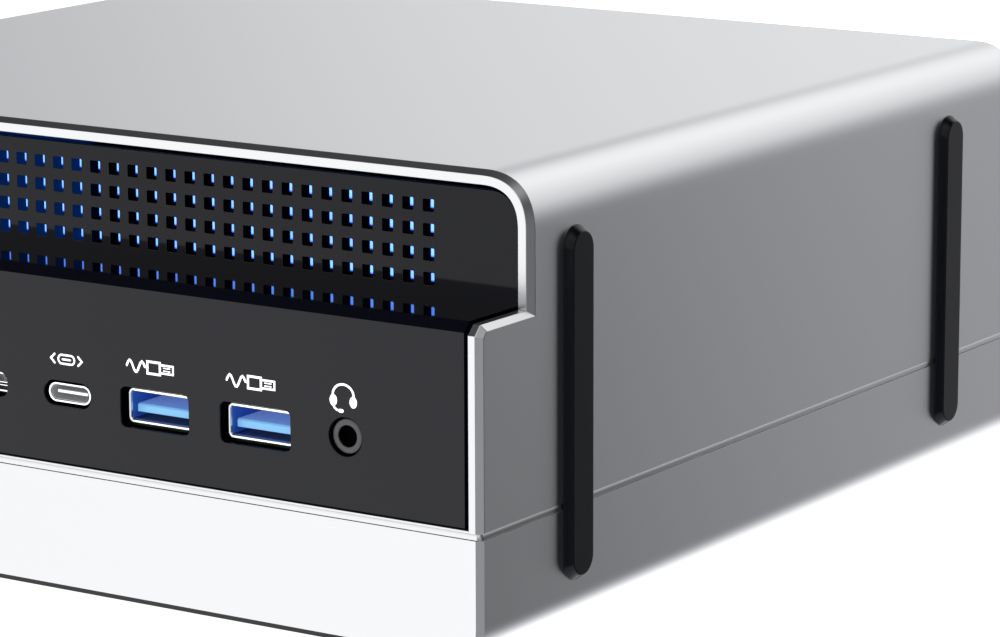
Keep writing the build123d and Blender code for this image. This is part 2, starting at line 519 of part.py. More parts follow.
FIN_LAST = FIN_FIRST + (FIN_COUNT - 1) * FIN_PITCH
for place, side in (("left", -1), ("right", 1)):
    with BuildPart() as heat_pipes:
        for pipe_x, run_y, bend_y in PIPES.values():
            with BuildLine() as route:
                FilletPolyline((side * pipe_x, PROCESSOR_Y - 20, PIPE_LOW_Z), (side * pipe_x, bend_y, PIPE_LOW_Z),
                               (side * pipe_x, run_y, PIPE_Z), (side * (FIN_LAST + 3), run_y, PIPE_Z), radius=9)
            with BuildSketch(Plane(origin=route.line @ 0, z_dir=route.line % 0)) as section:
                Circle(PIPE_R)
            sweep(section.sketch, path=route.line)
    heat_pipes.part.label = f"heat_pipes_{place}"
    export_step(heat_pipes.part, f"parts/heat_pipes_{place}.step")

    fins_low, fins_high = sorted((side * FIN_FIRST, side * FIN_LAST))
    with BuildPart() as fin_stack:
        block((fins_low, fins_high), (50, 86), (PLATFORM_TOP, PLATFORM_TOP + 0.8))
        with Locations(((fins_low + fins_high) / 2, 68, PLATFORM_TOP + 13)):
            with GridLocations(FIN_PITCH, 1, FIN_COUNT, 1):
                Box(0.4, 36, 26)
        for _, run_y, _ in PIPES.values():
            with Locations((0, run_y, PIPE_Z)):
                Cylinder(PIPE_R + 0.05, WIDTH, rotation=(0, 90, 0), mode=Mode.SUBTRACT)
    fin_stack.part.label = f"fin_stack_{place}"
    export_step(fin_stack.part, f"parts/fin_stack_{place}.step")

    fan_x = side * FAN_X
    fan_top = PLATFORM_TOP + FAN_HEIGHT
    x_span = (fan_x - FAN_SIZE / 2, fan_x + FAN_SIZE / 2)
    y_span = (FAN_Y - FAN_SIZE / 2, FAN_Y + FAN_SIZE / 2)
    with BuildPart() as fan_housing:
        block(x_span, y_span, (PLATFORM_TOP, fan_top))
        fillet(fan_housing.edges().filter_by(Axis.Z), 6)
        post((fan_x, FAN_Y), (PLATFORM_TOP + 1.5, fan_top - 1.5), 38, mode=Mode.SUBTRACT)
        block((fan_x - 32, fan_x + 32), (FAN_Y, y_span[1] + 1), (PLATFORM_TOP + 1.5, fan_top - 1.5),
              mode=Mode.SUBTRACT)
        post((fan_x, FAN_Y), (fan_top - 1.5, fan_top), 29, mode=Mode.SUBTRACT)
        post((fan_x, FAN_Y), (PLATFORM_TOP + 1.5, PLATFORM_TOP + 5), 11)
        post((fan_x, FAN_Y), (PLATFORM_TOP + 5, fan_top - 4), SPINDLE_R)
    fan_housing.part.label = f"fan_housing_{place}"
    export_step(fan_housing.part, f"parts/fan_housing_{place}.step")

    with BuildSketch(Plane.XY.offset(PLATFORM_TOP + 5.4)) as blade:
        with BuildLine():
            ThreePointArc((12.5, 0), (24, -3.5), (34, -13))
        trace(line_width=0.9)
    with BuildPart() as fan_rotor:
        post((fan_x, FAN_Y), (PLATFORM_TOP + 5.4, fan_top - 3), 13)
        post((fan_x, FAN_Y), (PLATFORM_TOP + 5.4, PLATFORM_TOP + 6.4), 34)
        with BuildSketch(Plane(origin=(fan_x, FAN_Y, PLATFORM_TOP + 5.4))):
            with PolarLocations(0, 23):
                add(blade.sketch.moved(Location((0, 0, -PLATFORM_TOP - 5.4))))
        extrude(amount=16)
        post((fan_x, FAN_Y), (PLATFORM_TOP + 5.4, fan_top - 3.9), SPINDLE_R + 0.06, mode=Mode.SUBTRACT)
    fan_rotor.part.label = f"fan_rotor_{place}"
    export_step(fan_rotor.part, f"parts/fan_rotor_{place}.step")

# --- Rear connectors and panel -------------------------------------------------------------
DC_X, VIDEO_X, REAR_C_X, STACK_X, LAN_X, REAR_JACK_X = 64.0, (47.0, 27.0), 11.5, (-5.0, -22.0), -43.0, -62.0
DC_Z = BOARD_TOP + 6
REAR_JACK_Z = BOARD_TOP + 4
with BuildPart() as dc_inlet:
    block((DC_X - 5, DC_X + 5), (78, PORT_END), (BOARD_TOP, BOARD_TOP + 11))
    pin((DC_X, DC_Z), (81, PORT_END + 1), 3.3, mode=Mode.SUBTRACT)
    pin((DC_X, DC_Z), (80, PORT_END - 1.5), 1.1)
dc_inlet.part.label = "dc_inlet"
export_step(dc_inlet.part, "parts/dc_inlet.step")

with BuildPart() as video_ports:
    for video_x in VIDEO_X:
        block((video_x - 7.6, video_x + 7.6), (79.8, PORT_END), (BOARD_TOP, BOARD_TOP + 6.2))
        with BuildSketch(Plane.XZ.offset(-PORT_END)):
            with BuildLine():
                Polyline((video_x - 7.1, BOARD_TOP + 5.6), (video_x + 7.1, BOARD_TOP + 5.6),
                         (video_x + 7.1, BOARD_TOP + 2.6), (video_x + 5.4, BOARD_TOP + 0.9),
                         (video_x - 5.4, BOARD_TOP + 0.9), (video_x - 7.1, BOARD_TOP + 2.6), close=True)
            make_face()
        extrude(amount=9, mode=Mode.SUBTRACT)
        block((video_x - 5.8, video_x + 5.8), (81, PORT_END - 1), (BOARD_TOP + 3, BOARD_TOP + 4))
video_ports.part.label = "video_ports"
export_step(video_ports.part, "parts/video_ports.step")

with BuildPart() as rear_usb_c:
    slot_block((REAR_C_X, BOARD_TOP + 2.2), (USB_C_W, USB_C_H), 1.6, (PORT_END - 8, PORT_END))
    slot_block((REAR_C_X, BOARD_TOP + 2.2), (USB_C_W - 0.6, USB_C_H - 0.6), 1.3, (PORT_END - 6.4, PORT_END + 1),
               mode=Mode.SUBTRACT)
    block((REAR_C_X - 3.35, REAR_C_X + 3.35), (PORT_END - 7, PORT_END - 0.8), (BOARD_TOP + 1.85, BOARD_TOP + 2.55))
    block((REAR_C_X - 3, REAR_C_X + 3), (PORT_END - 7, PORT_END - 2), (BOARD_TOP, BOARD_TOP + 0.6))
rear_usb_c.part.label = "rear_usb_c"
export_step(rear_usb_c.part, "parts/rear_usb_c.step")

STACK_Z = (BOARD_TOP + 4, BOARD_TOP + 11.6)
with BuildPart() as rear_usb_stacks:
    for stack_x in STACK_X:
        block((stack_x - 7, stack_x + 7), (74.8, PORT_END), (BOARD_TOP, BOARD_TOP + 15.6))
        for socket_z in STACK_Z:
            block((stack_x - 6.25, stack_x + 6.25), (79, PORT_END + 1), (socket_z - 2.55, socket_z + 2.55),
                  mode=Mode.SUBTRACT)
rear_usb_stacks.part.label = "rear_usb_stacks"
export_step(rear_usb_stacks.part, "parts/rear_usb_stacks.step")

with BuildPart() as rear_tongues:
    for stack_x in STACK_X:
        for socket_z in STACK_Z:
            block((stack_x - 5.6, stack_x + 5.6), (79, PORT_END - 1.2), (socket_z, socket_z + 1.9))
rear_tongues.part.label = "rear_usb_tongues"
export_step(rear_tongues.part, "parts/rear_usb_tongues.step")

LAN_MOUTH_Z = (BOARD_TOP + 3, BOARD_TOP + 10)
with BuildPart() as lan_jack:
    block((LAN_X - 8, LAN_X + 8), (70.8, PORT_END), (BOARD_TOP, BOARD_TOP + 13.4))
    block((LAN_X - 5.95, LAN_X + 5.95), (77, PORT_END + 1), LAN_MOUTH_Z, mode=Mode.SUBTRACT)
    block((LAN_X - 3, LAN_X + 3), (77, PORT_END + 1), (BOARD_TOP + 1.2, BOARD_TOP + 3), mode=Mode.SUBTRACT)
lan_jack.part.label = "lan_jack"
export_step(lan_jack.part, "parts/lan_jack.step")

with BuildPart() as rear_audio_jack:
    block((REAR_JACK_X - 5.5, REAR_JACK_X + 5.5), (76, REAR_FACE - REAR_THICK - RUN_GAP), (BOARD_TOP, BOARD_TOP + 8))
    pin((REAR_JACK_X, REAR_JACK_Z), (REAR_FACE - REAR_THICK - RUN_GAP, PORT_END), 3.2)
    pin((REAR_JACK_X, REAR_JACK_Z), (PORT_END - JACK_LONG, PORT_END + 1), JACK_BORE_R, mode=Mode.SUBTRACT)
rear_audio_jack.part.label = "rear_audio_jack"
export_step(rear_audio_jack.part, "parts/rear_audio_jack.step")

with BuildPart() as rear_panel:
    with BuildSketch(Plane.XZ.offset(-REAR_FACE)):
        with BuildLine():
            FilletPolyline((-FACE_HALF, TRAY_LOW + RUN_GAP), (-FACE_HALF, FACE_TOP), (FACE_HALF, FACE_TOP),
                           (FACE_HALF, TRAY_LOW + RUN_GAP), radius=TOP_RADIUS - WALL - BEZEL_GAP)
            Line((FACE_HALF, TRAY_LOW + RUN_GAP), (-FACE_HALF, TRAY_LOW + RUN_GAP))
        make_face()
    extrude(amount=REAR_THICK)
    chamfer(rear_panel.edges().filter_by(Axis.Y).group_by(Axis.Z)[0], 2.5)
    with BuildSketch(Plane.XZ.offset(-REAR_FACE)):
        for side in (-1, 1):
            with Locations((side * 56, 50)):
                with GridLocations(PITCH_X, PITCH_Z * 2, 13, 3):
                    SlotOverall(7, 2.2, rotation=90)
    extrude(amount=REAR_THICK, mode=Mode.SUBTRACT)
    through = (REAR_FACE - REAR_THICK - 1, BACK)
    slot_block((DC_X, BOARD_TOP + 5.5), (10.6, 11.6), 0.8, through, mode=Mode.SUBTRACT)
    for video_x in VIDEO_X:
        slot_block((video_x, BOARD_TOP + 3.1), (15.8, 6.8), 0.6, through, mode=Mode.SUBTRACT)
    slot_block((REAR_C_X, BOARD_TOP + 2.2), (USB_C_W + 0.8, USB_C_H + 0.8), 2.0, through, mode=Mode.SUBTRACT)
    for stack_x in STACK_X:
        slot_block((stack_x, BOARD_TOP + 7.8), (14.6, 16.2), 0.6, through, mode=Mode.SUBTRACT)
    slot_block((LAN_X, BOARD_TOP + 6.7), (16.6, 14), 0.6, through, mode=Mode.SUBTRACT)
    pin((REAR_JACK_X, REAR_JACK_Z), through, 3.5, mode=Mode.SUBTRACT)
    for spot in REAR_SCREWS:
        pin(spot, through, 1.7, mode=Mode.SUBTRACT)
        pin(spot, (REAR_FACE - 0.8, BACK), 3.2, mode=Mode.SUBTRACT)
rear_panel.part.label = "rear_panel"
export_step(rear_panel.part, "parts/rear_panel.step")

with BuildPart() as rear_screws:
    for spot in REAR_SCREWS:
        pin(spot, (REAR_FACE - 0.8, REAR_FACE + 0.2), 2.9)
        pin(spot, (REAR_FACE - 6, REAR_FACE - 0.8), 1.5)
rear_screws.part.label = "rear_screws"
export_step(rear_screws.part, "parts/rear_screws.step")

with BuildPart() as antennas:
    for antenna_x in (-30, 30):
        block((antenna_x - 15, antenna_x + 15), (REAR_FACE - REAR_THICK - 0.8, REAR_FACE - REAR_THICK), (62, 71))
antennas.part.label = "wireless_antennas"
export_step(antennas.part, "parts/wireless_antennas.step")
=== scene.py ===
"""Looks of a compact desktop computer with a stepped front and a lit grille.

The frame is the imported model's: +X to the right, +Y to the back, +Z up, in metres. Sizes in
the classes are millimetres, and become metres where a mesh is made.
"""

import logging
from dataclasses import dataclass
from enum import Enum
from math import atan2, cos, pi, radians, sin, sqrt
from typing import Callable, Sequence

import bmesh
import bpy
from mathutils import Matrix, Vector
from mathutils.geometry import tessellate_polygon


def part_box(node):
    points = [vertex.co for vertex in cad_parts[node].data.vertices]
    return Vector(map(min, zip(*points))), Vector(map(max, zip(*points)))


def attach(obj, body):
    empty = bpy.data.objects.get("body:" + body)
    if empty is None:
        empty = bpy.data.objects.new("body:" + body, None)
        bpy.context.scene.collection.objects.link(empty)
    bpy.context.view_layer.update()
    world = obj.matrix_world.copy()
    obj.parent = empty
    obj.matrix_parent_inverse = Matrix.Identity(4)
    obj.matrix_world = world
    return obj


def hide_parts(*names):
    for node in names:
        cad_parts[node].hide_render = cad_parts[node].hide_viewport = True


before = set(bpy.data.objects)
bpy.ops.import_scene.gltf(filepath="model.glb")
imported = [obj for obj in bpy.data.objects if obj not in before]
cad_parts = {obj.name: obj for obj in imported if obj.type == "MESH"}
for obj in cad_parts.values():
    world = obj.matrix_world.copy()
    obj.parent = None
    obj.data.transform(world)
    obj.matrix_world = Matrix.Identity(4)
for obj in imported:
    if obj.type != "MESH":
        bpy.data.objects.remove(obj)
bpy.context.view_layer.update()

LOG = logging.getLogger("desktop_computer")
MM = 0.001                      # metres in a millimetre
MERGE_GAP, CELL_GAP = 1e-6, 2e-6    # metres: points closer than this are one, in a skin and in a field

Pair = tuple[float, float]
Triple = tuple[float, float, float]
Four = tuple[float, float, float, float]
Loop = list[Vector]
Outline = Callable[[float], list[Pair]]    # an outline, by how far it is drawn in
Tree, Socket, Material = bpy.types.NodeTree, bpy.types.NodeSocket, bpy.types.Material
Object, Mesh = bpy.types.Object, bpy.types.Mesh
Feeds = dict[str | int, object]            # a node's inputs: a constant, or the socket that feeds it


# --- Shader nodes and finishes ---


def to_linear(colour: str) -> Four:
    """Turn an sRGB hex colour into linear RGBA.

    Args:
        colour: Six hex digits, such as "c8ccd0".

    Returns:
        Linear red, green, blue and an alpha of 1.
    """
    channels = [int(colour[i : i + 2], 16) / 255 for i in (0, 2, 4)]
    red, green, blue = (c / 12.92 if c <= 0.04045 else ((c + 0.055) / 1.055) ** 2.4 for c in channels)
    return red, green, blue, 1.0


def add_node(
    tree: Tree,
    kind: str,
    settings: dict[str, object] | None = None,
    inputs: Feeds | None = None,
) -> bpy.types.Node:
    """Add a node, set it up and link what feeds it.

    Args:
        tree: The tree that gets the node.
        kind: The node's type name.
        settings: Properties of the node itself.
        inputs: Input name or number to a constant, to the socket that feeds it, or to a node
            whose first output feeds it.

    Returns:
        The new node.
    """
    node = tree.nodes.new(kind)
    for name, value in (settings or {}).items():
        setattr(node, name, value)
    for name, value in (inputs or {}).items():
        if isinstance(value, bpy.types.Node):
            value = value.outputs[0]
        if isinstance(value, Socket):
            tree.links.new(value, node.inputs[name])
        else:
            node.inputs[name].default_value = value
    return node


class Direction(Enum):
    """How a surface's marks run."""

    NONE = (1.0, 1.0, 1.0)
    ALONG_X = (0.04, 1.0, 1.0)
    ALONG_Y = (1.0, 0.04, 1.0)
    ALONG_Z = (1.0, 1.0, 0.04)


@dataclass(frozen=True)
class Finish:
    """A real material and how its surface was made, as one Principled material.

    grain_mm is the size of its marks, relief_mm their height, mottle the share by which they
    change its colour, and sheen_spread the amount by which they change its roughness.
    """

    name: str
    colour: str
    roughness: float
    metallic: float = 0.0
    ior: float = 1.5
    grain_mm: float = 0.4
    relief_mm: float = 0.002
    mottle: float = 0.06
    sheen_spread: float = 0.04
    marks: Direction = Direction.NONE
    coat: float = 0.0
    glow: str = ""
    glow_strength: float = 0.0

    def marks_socket(self, tree: Tree) -> Socket:
        """Make the pattern of the surface's marks.

        Args:
            tree: The material's tree.

        Returns:
            A socket from 0 to 1.
        """
        place = add_node(tree, "ShaderNodeTexCoord")
        turned = add_node(tree, "ShaderNodeMapping", None,
                          {"Vector": place.outputs["Object"], "Scale": self.marks.value})
        noise = add_node(tree, "ShaderNodeTexNoise", None,
                         {"Vector": turned, "Scale": 1 / (self.grain_mm * MM), "Detail": 3.0,
                          "Roughness": 0.6})
        return noise.outputs["Fac"]

    def colour_socket(self, tree: Tree, marks: Socket) -> Socket:
        """Spread the colour by the marks.

        Args:
            tree: The material's tree.
            marks: The pattern from marks_socket.

        Returns:
            A colour socket.
        """
        tone = to_linear(self.colour)
        ends = [(*(min(1.0, c * (1 + sign * self.mottle)) for c in tone[:3]), 1.0) for sign in (-1, 1)]
        mix = add_node(tree, "ShaderNodeMix", {"data_type": "RGBA"}, {0: marks, 6: ends[0], 7: ends[1]})
        return mix.outputs[2]

    def light(self, tree: Tree) -> Feeds:
        """Give the shader's inputs for light of its own."""
        return {"Emission Color": to_linear(self.glow), "Emission Strength": self.glow_strength}

    def build(self) -> Material:
        """Make the material.

        Returns:
            The finished material.
        """
        material = bpy.data.materials.new(self.name)
        material.use_nodes = True
        tree = material.node_tree
        tree.nodes.clear()
        marks = self.marks_socket(tree)
        rough = add_node(tree, "ShaderNodeMapRange", None,
                         {"Value": marks, "To Min": max(0.0, self.roughness - self.sheen_spread),
                          "To Max": self.roughness + self.sheen_spread})
        relief = add_node(tree, "ShaderNodeBump", None,
                          {"Height": marks, "Distance": self.relief_mm * MM, "Strength": 1.0})
        inputs: Feeds = {
            "Base Color": self.colour_socket(tree, marks),
            "Metallic": self.metallic,
            "Roughness": rough,
            "IOR": self.ior,
            "Normal": relief,
            "Coat Weight": self.coat,
            "Coat Roughness": 0.05,
        }
        if self.glow:
            inputs |= self.light(tree)
        shader = add_node(tree, "ShaderNodeBsdfPrincipled", None, inputs)
        add_node(tree, "ShaderNodeOutputMaterial", None, {"Surface": shader})
        return material


@dataclass(frozen=True)
class CircuitBoard(Finish):
    """Glass-epoxy board under solder mask: copper tracks show through as lighter lines."""

    track_mm: float = 1.6

    def colour_socket(self, tree: Tree, marks: Socket) -> Socket:
        """Draw tracks and pads under the mask.

        Args:
            tree: The material's tree.
            marks: The pattern from marks_socket.

        Returns:
            A colour socket.
        """
        place = add_node(tree, "ShaderNodeTexCoord")
        cells = add_node(tree, "ShaderNodeTexVoronoi", {"distance": "CHEBYCHEV"},
                         {"Vector": place.outputs["Object"], "Scale": 1 / (3 * self.track_mm * MM)})
        rings = add_node(tree, "ShaderNodeMath", {"operation": "PINGPONG"},
                         {0: cells.outputs["Distance"], 1: 0.12})
        edge = add_node(tree, "ShaderNodeMapRange", None,
                        {"Value": rings, "From Min": 0.05, "From Max": 0.07})
        mask = Finish.colour_socket(self, tree, marks)
        lifted = tuple(min(1.0, 2.2 * c) for c in to_linear(self.colour)[:3])
        mix = add_node(tree, "ShaderNodeMix", {"data_type": "RGBA"},
                       {0: edge, 6: mask, 7: (*lifted, 1.0)})
        return mix.outputs[2]


@dataclass(frozen=True)
class PaintedGlowWall(Finish):
    """Rough black plastic with a painted blue glow on one side of the computer, standing in for light cast by
    the guide.
    """

    dark_x: float = 9.5
    lit_x: float = 6.5

    def light(self, tree: Tree) -> Feeds:
        """Fade the painted glow out across the middle of the computer.

        Args:
            tree: The material's tree.

        Returns:
            The shader's inputs.
        """
        place = add_node(tree, "ShaderNodeTexCoord")
        axes = add_node(tree, "ShaderNodeSeparateXYZ", None, {0: place.outputs["Object"]})
        cast = add_node(tree, "ShaderNodeMapRange", {"interpolation_type": "SMOOTHSTEP"},
                        {"Value": axes, "From Min": self.lit_x * MM, "From Max": self.dark_x * MM,
                         "To Min": self.glow_strength, "To Max": 0.0})
        return {"Emission Color": to_linear(self.glow), "Emission Strength": cast}


@dataclass(frozen=True)
class LitAcrylic(Finish):
    """Edge-lit acrylic guide: bright blue behind each row of holes, deeper between the rows."""

    row_foot: float = 61.75
    row_pitch: float = 4.01
    deep: str = "103aa0"

    def light(self, tree: Tree) -> Feeds:
        """Draw the rows of light in the guide, a little dappled.

        Args:
            tree: The material's tree.

        Returns:
            The shader's inputs.
        """
        place = add_node(tree, "ShaderNodeTexCoord")
        axes = add_node(tree, "ShaderNodeSeparateXYZ", None, {0: place.outputs["Object"]})
        above = add_node(tree, "ShaderNodeMath", {"operation": "SUBTRACT"},
                         {0: axes.outputs[2], 1: self.row_foot * MM})
        row = add_node(tree, "ShaderNodeMath", {"operation": "DIVIDE"}, {0: above, 1: self.row_pitch * MM})
        share = add_node(tree, "ShaderNodeMath", {"operation": "FRACT"}, {0: row})
        level = add_node(tree, "ShaderNodeMapRange", {"interpolation_type": "SMOOTHSTEP"},
                         {"Value": share, "From Min": 0.04, "From Max": 0.13})
        spots = add_node(tree, "ShaderNodeTexNoise", None,
                         {"Vector": place.outputs["Object"], "Scale": 190.0})
        patch = add_node(tree, "ShaderNodeMapRange", None,
                         {"Value": spots.outputs["Fac"], "From Min": 0.3, "From Max": 0.6, "To Min": 0.75})
        dappled = add_node(tree, "ShaderNodeMath", {"operation": "MULTIPLY"}, {0: level, 1: patch})
        glow = add_node(tree, "ShaderNodeMix", {"data_type": "RGBA"},
                        {0: dappled, 6: to_linear(self.deep), 7: to_linear(self.glow)})
        return {"Emission Color": glow.outputs[2], "Emission Strength": self.glow_strength}


# Bead-blasted, clear-anodised aluminium: pits far finer than a hair blur every reflection into
# a soft gradient, with hardly any visible grain.
SILVER = Finish("blasted_anodised_aluminium", "d9dadc", 0.3, metallic=1.0, grain_mm=0.18, relief_mm=0.0004,
                mottle=0.012, sheen_spread=0.012)
# Polished black ABS: a mirror-like skin over a body that gives back almost no light of its own.
BLACK_ABS = Finish("polished_black_abs", "060710", 0.045, ior=1.36, grain_mm=2.5, relief_mm=0.0003,
                   mottle=0.1,
                   sheen_spread=0.01)
# The same ABS from a tool with a finer polish mark: a little less bright in the same light.
GRILLE_ABS = Finish("satin_polished_black_abs", "04050d", 0.07, ior=1.3, grain_mm=2.5, relief_mm=0.0003,
                    mottle=0.1,
                    sheen_spread=0.01)
# Walls of the holes, left rough by the tool: near-black, darker than the grille, as painted shade, with a
# painted deep blue glow towards the left that stands in for the guide's light, whose lamps stand close behind
# them.
HOLE_WALL_PAINTED_SHADE_AND_GLOW = PaintedGlowWall("tool_marked_black_abs", "020203", 0.7, ior=1.03, grain_mm=0.3, relief_mm=0.002,
                        glow="02225a", glow_strength=0.75)
# Silicone rubber with a fine matt tool finish: soft, wide highlights.
RUBBER = Finish("moulded_silicone_rubber", "090a10", 0.24, ior=1.27, grain_mm=0.25, relief_mm=0.004,
                mottle=0.1)
# Steel sheet under powder coat: slight orange peel.
POWDER_COAT = Finish("black_powder_coated_steel", "101012", 0.45, grain_mm=0.8, relief_mm=0.006, mottle=0.12)
# ABS moulded in a spark-eroded tool: an even satin grain.
SATIN_ABS = Finish("spark_eroded_black_abs", "131315", 0.4, grain_mm=0.35, relief_mm=0.008, mottle=0.12)
# Polycarbonate pin, polished at its end: pale and almost clear.
LENS = Finish("clear_polycarbonate", "c8d4de", 0.12, ior=1.58, mottle=0.03, sheen_spread=0.02)
# Polycarbonate with a fine satin skin: softer highlights than the panel round it.
BUTTON = Finish("satin_black_polycarbonate", "121214", 0.28, ior=1.55, grain_mm=0.5, relief_mm=0.002)
# Nickel plate over drawn steel: bright, with faint drawing lines along the socket.
NICKEL = Finish("nickel_plated_steel", "f4f5f6", 0.16, metallic=1.0, grain_mm=0.5, relief_mm=0.001,
                mottle=0.03,
                marks=Direction.ALONG_Y)
# Zinc-plated sheet: greyish, with the long marks of the rolling mill.
ZINC = Finish("zinc_plated_steel_sheet", "a9adb2", 0.38, metallic=1.0, grain_mm=1.6, relief_mm=0.002,
              mottle=0.1,
              marks=Direction.ALONG_X)
# Blue PBT of a fast USB socket: semi-gloss, with a painted blue glow that lightens its shaded inside.
BLUE_PBT_PAINTED_GLOW = Finish("moulded_blue_pbt", "2455a0", 0.3, ior=1.5, mottle=0.05, glow="10368c", glow_strength=0.35)
# The tongue of that socket: the same blue PBT painted paler, as if lit from in front, with a painted glow.
PAINTED_LIT_BLUE_PBT = Finish("moulded_pale_blue_pbt", "67add0", 0.3, ior=1.5, mottle=0.04, glow="5a6c9a",
                  glow_strength=0.8)
# The floor of that socket: the same blue PBT painted dull dark blue, as painted shade.
PAINTED_SHADE_BLUE_PBT = Finish("moulded_navy_pbt", "0a1a4a", 0.4, ior=1.4, mottle=0.05)
# Cut edge of a drawn shell, polished by its tool, with a painted white glow as a highlight from every side.
CUT_EDGE_PAINTED_HIGHLIGHT = Finish("polished_nickel_edge", "f6f7f8", 0.35, metallic=1.0, mottle=0.02, glow="ffffff",
                  glow_strength=0.7)
# Inside of a drawn shell: a greyer, shaded copy of its nickel, with a faint painted glow that lightens the
# dark inside.
SLEEVE_PAINTED_GLOW = Finish("drawn_nickel_sleeve", "b9bcc0", 0.35, metallic=0.7, grain_mm=0.5, relief_mm=0.003,
                mottle=0.1,
                marks=Direction.ALONG_X, glow="ffffff", glow_strength=0.06)
# Openings' walls, left as the tool cut them: no shine at all, and near-black, darker than the panel, as
# painted shade.
MATT_ABS_PAINTED_SHADE = Finish("tool_marked_plain_abs", "020203", 0.7, ior=1.05, grain_mm=0.3, relief_mm=0.002)
# Liquid-crystal polymer of connectors and switches: fine flow marks and a dull sheen.
BLACK_LCP = Finish("moulded_black_lcp", "17171a", 0.4, ior=1.6, grain_mm=0.3, relief_mm=0.004, mottle=0.15)
GREY_LCP = Finish("moulded_grey_lcp", "3a3a3d", 0.38, ior=1.6, grain_mm=0.3, relief_mm=0.003, mottle=0.06)
# Green-black solder mask over copper: thin glossy coat, tracks a shade lighter.
BOARD = CircuitBoard("solder_mask_on_glass_epoxy", "0c1512", 0.3, ior=1.52, grain_mm=0.6, relief_mm=0.003,
                     coat=0.3)
# Filled epoxy of chip packages: dark grey, matt, finely sanded by its mould.
CHIP = Finish("moulded_chip_epoxy", "1b1c1e", 0.55, grain_mm=0.2, relief_mm=0.004, mottle=0.12)
# Copper tube, drawn and left bare: warm, with fine lines along it.
COPPER = Finish("drawn_bare_copper", "d08a63", 0.3, metallic=1.0, grain_mm=0.8, relief_mm=0.002, mottle=0.08,
                marks=Direction.ALONG_Y)
# Aluminium sheet as it comes from the mill: bright, with upright rolling lines.
MILL_ALUMINIUM = Finish("mill_finish_aluminium", "cfd2d6", 0.34, metallic=1.0, grain_mm=0.7, relief_mm=0.002,
                        mottle=0.06, marks=Direction.ALONG_Z)
# Glass-filled PBT: dark and matt, slightly cloudy from its fibres.
FAN_PLASTIC = Finish("glass_filled_black_pbt", "151517", 0.5, grain_mm=0.4, relief_mm=0.006, mottle=0.15)
# Brass from a lathe: yellow, with rings left by the cutter.
BRASS = Finish("turned_brass", "c9a55a", 0.28, metallic=1.0, grain_mm=0.3, relief_mm=0.002,
               marks=Direction.ALONG_X)
# Steel blackened in a salt bath: dark, but still a metal in its highlights.
BLACK_OXIDE = Finish("black_oxide_steel", "26272a", 0.35, metallic=1.0, grain_mm=0.3, relief_mm=0.002)
# Lit phosphor in its white case.
LAMP = Finish("led_phosphor_and_case", "dfe9f2", 0.3, glow="bfe0ff", glow_strength=1.0)
# Pad-printed white epoxy ink: opaque and slightly raised, with a painted white glow that keeps it bright in
# any light.
INK_PAINTED_GLOW = Finish("pad_printed_white_ink", "fdfdfd", 0.5, grain_mm=0.3, relief_mm=0.002, mottle=0.01,
             glow="ffffff", glow_strength=0.45)
# Blue light strong enough to look almost white head-on, while its reflections stay deep blue.
GUIDE = LitAcrylic("edge_lit_acrylic", "9fd0ff", 0.25, ior=1.49, glow="5689ff", glow_strength=3.2)
# Seamless paper, evenly lit.
PAPER = Finish("pale_studio_floor", "ffffff", 0.9, grain_mm=40.0, relief_mm=0.0, mottle=0.0, glow="ffffff",
               glow_strength=1.0)

_MADE: dict[str, Material] = {}


def material_of(finish: Finish) -> Material:
    """Give a finish's material, made on first use.

    Args:
        finish: The finish.

    Returns:
        Its material.
    """
    if finish.name not in _MADE:
        _MADE[finish.name] = finish.build()
    return _MADE[finish.name]


# --- Meshes ---


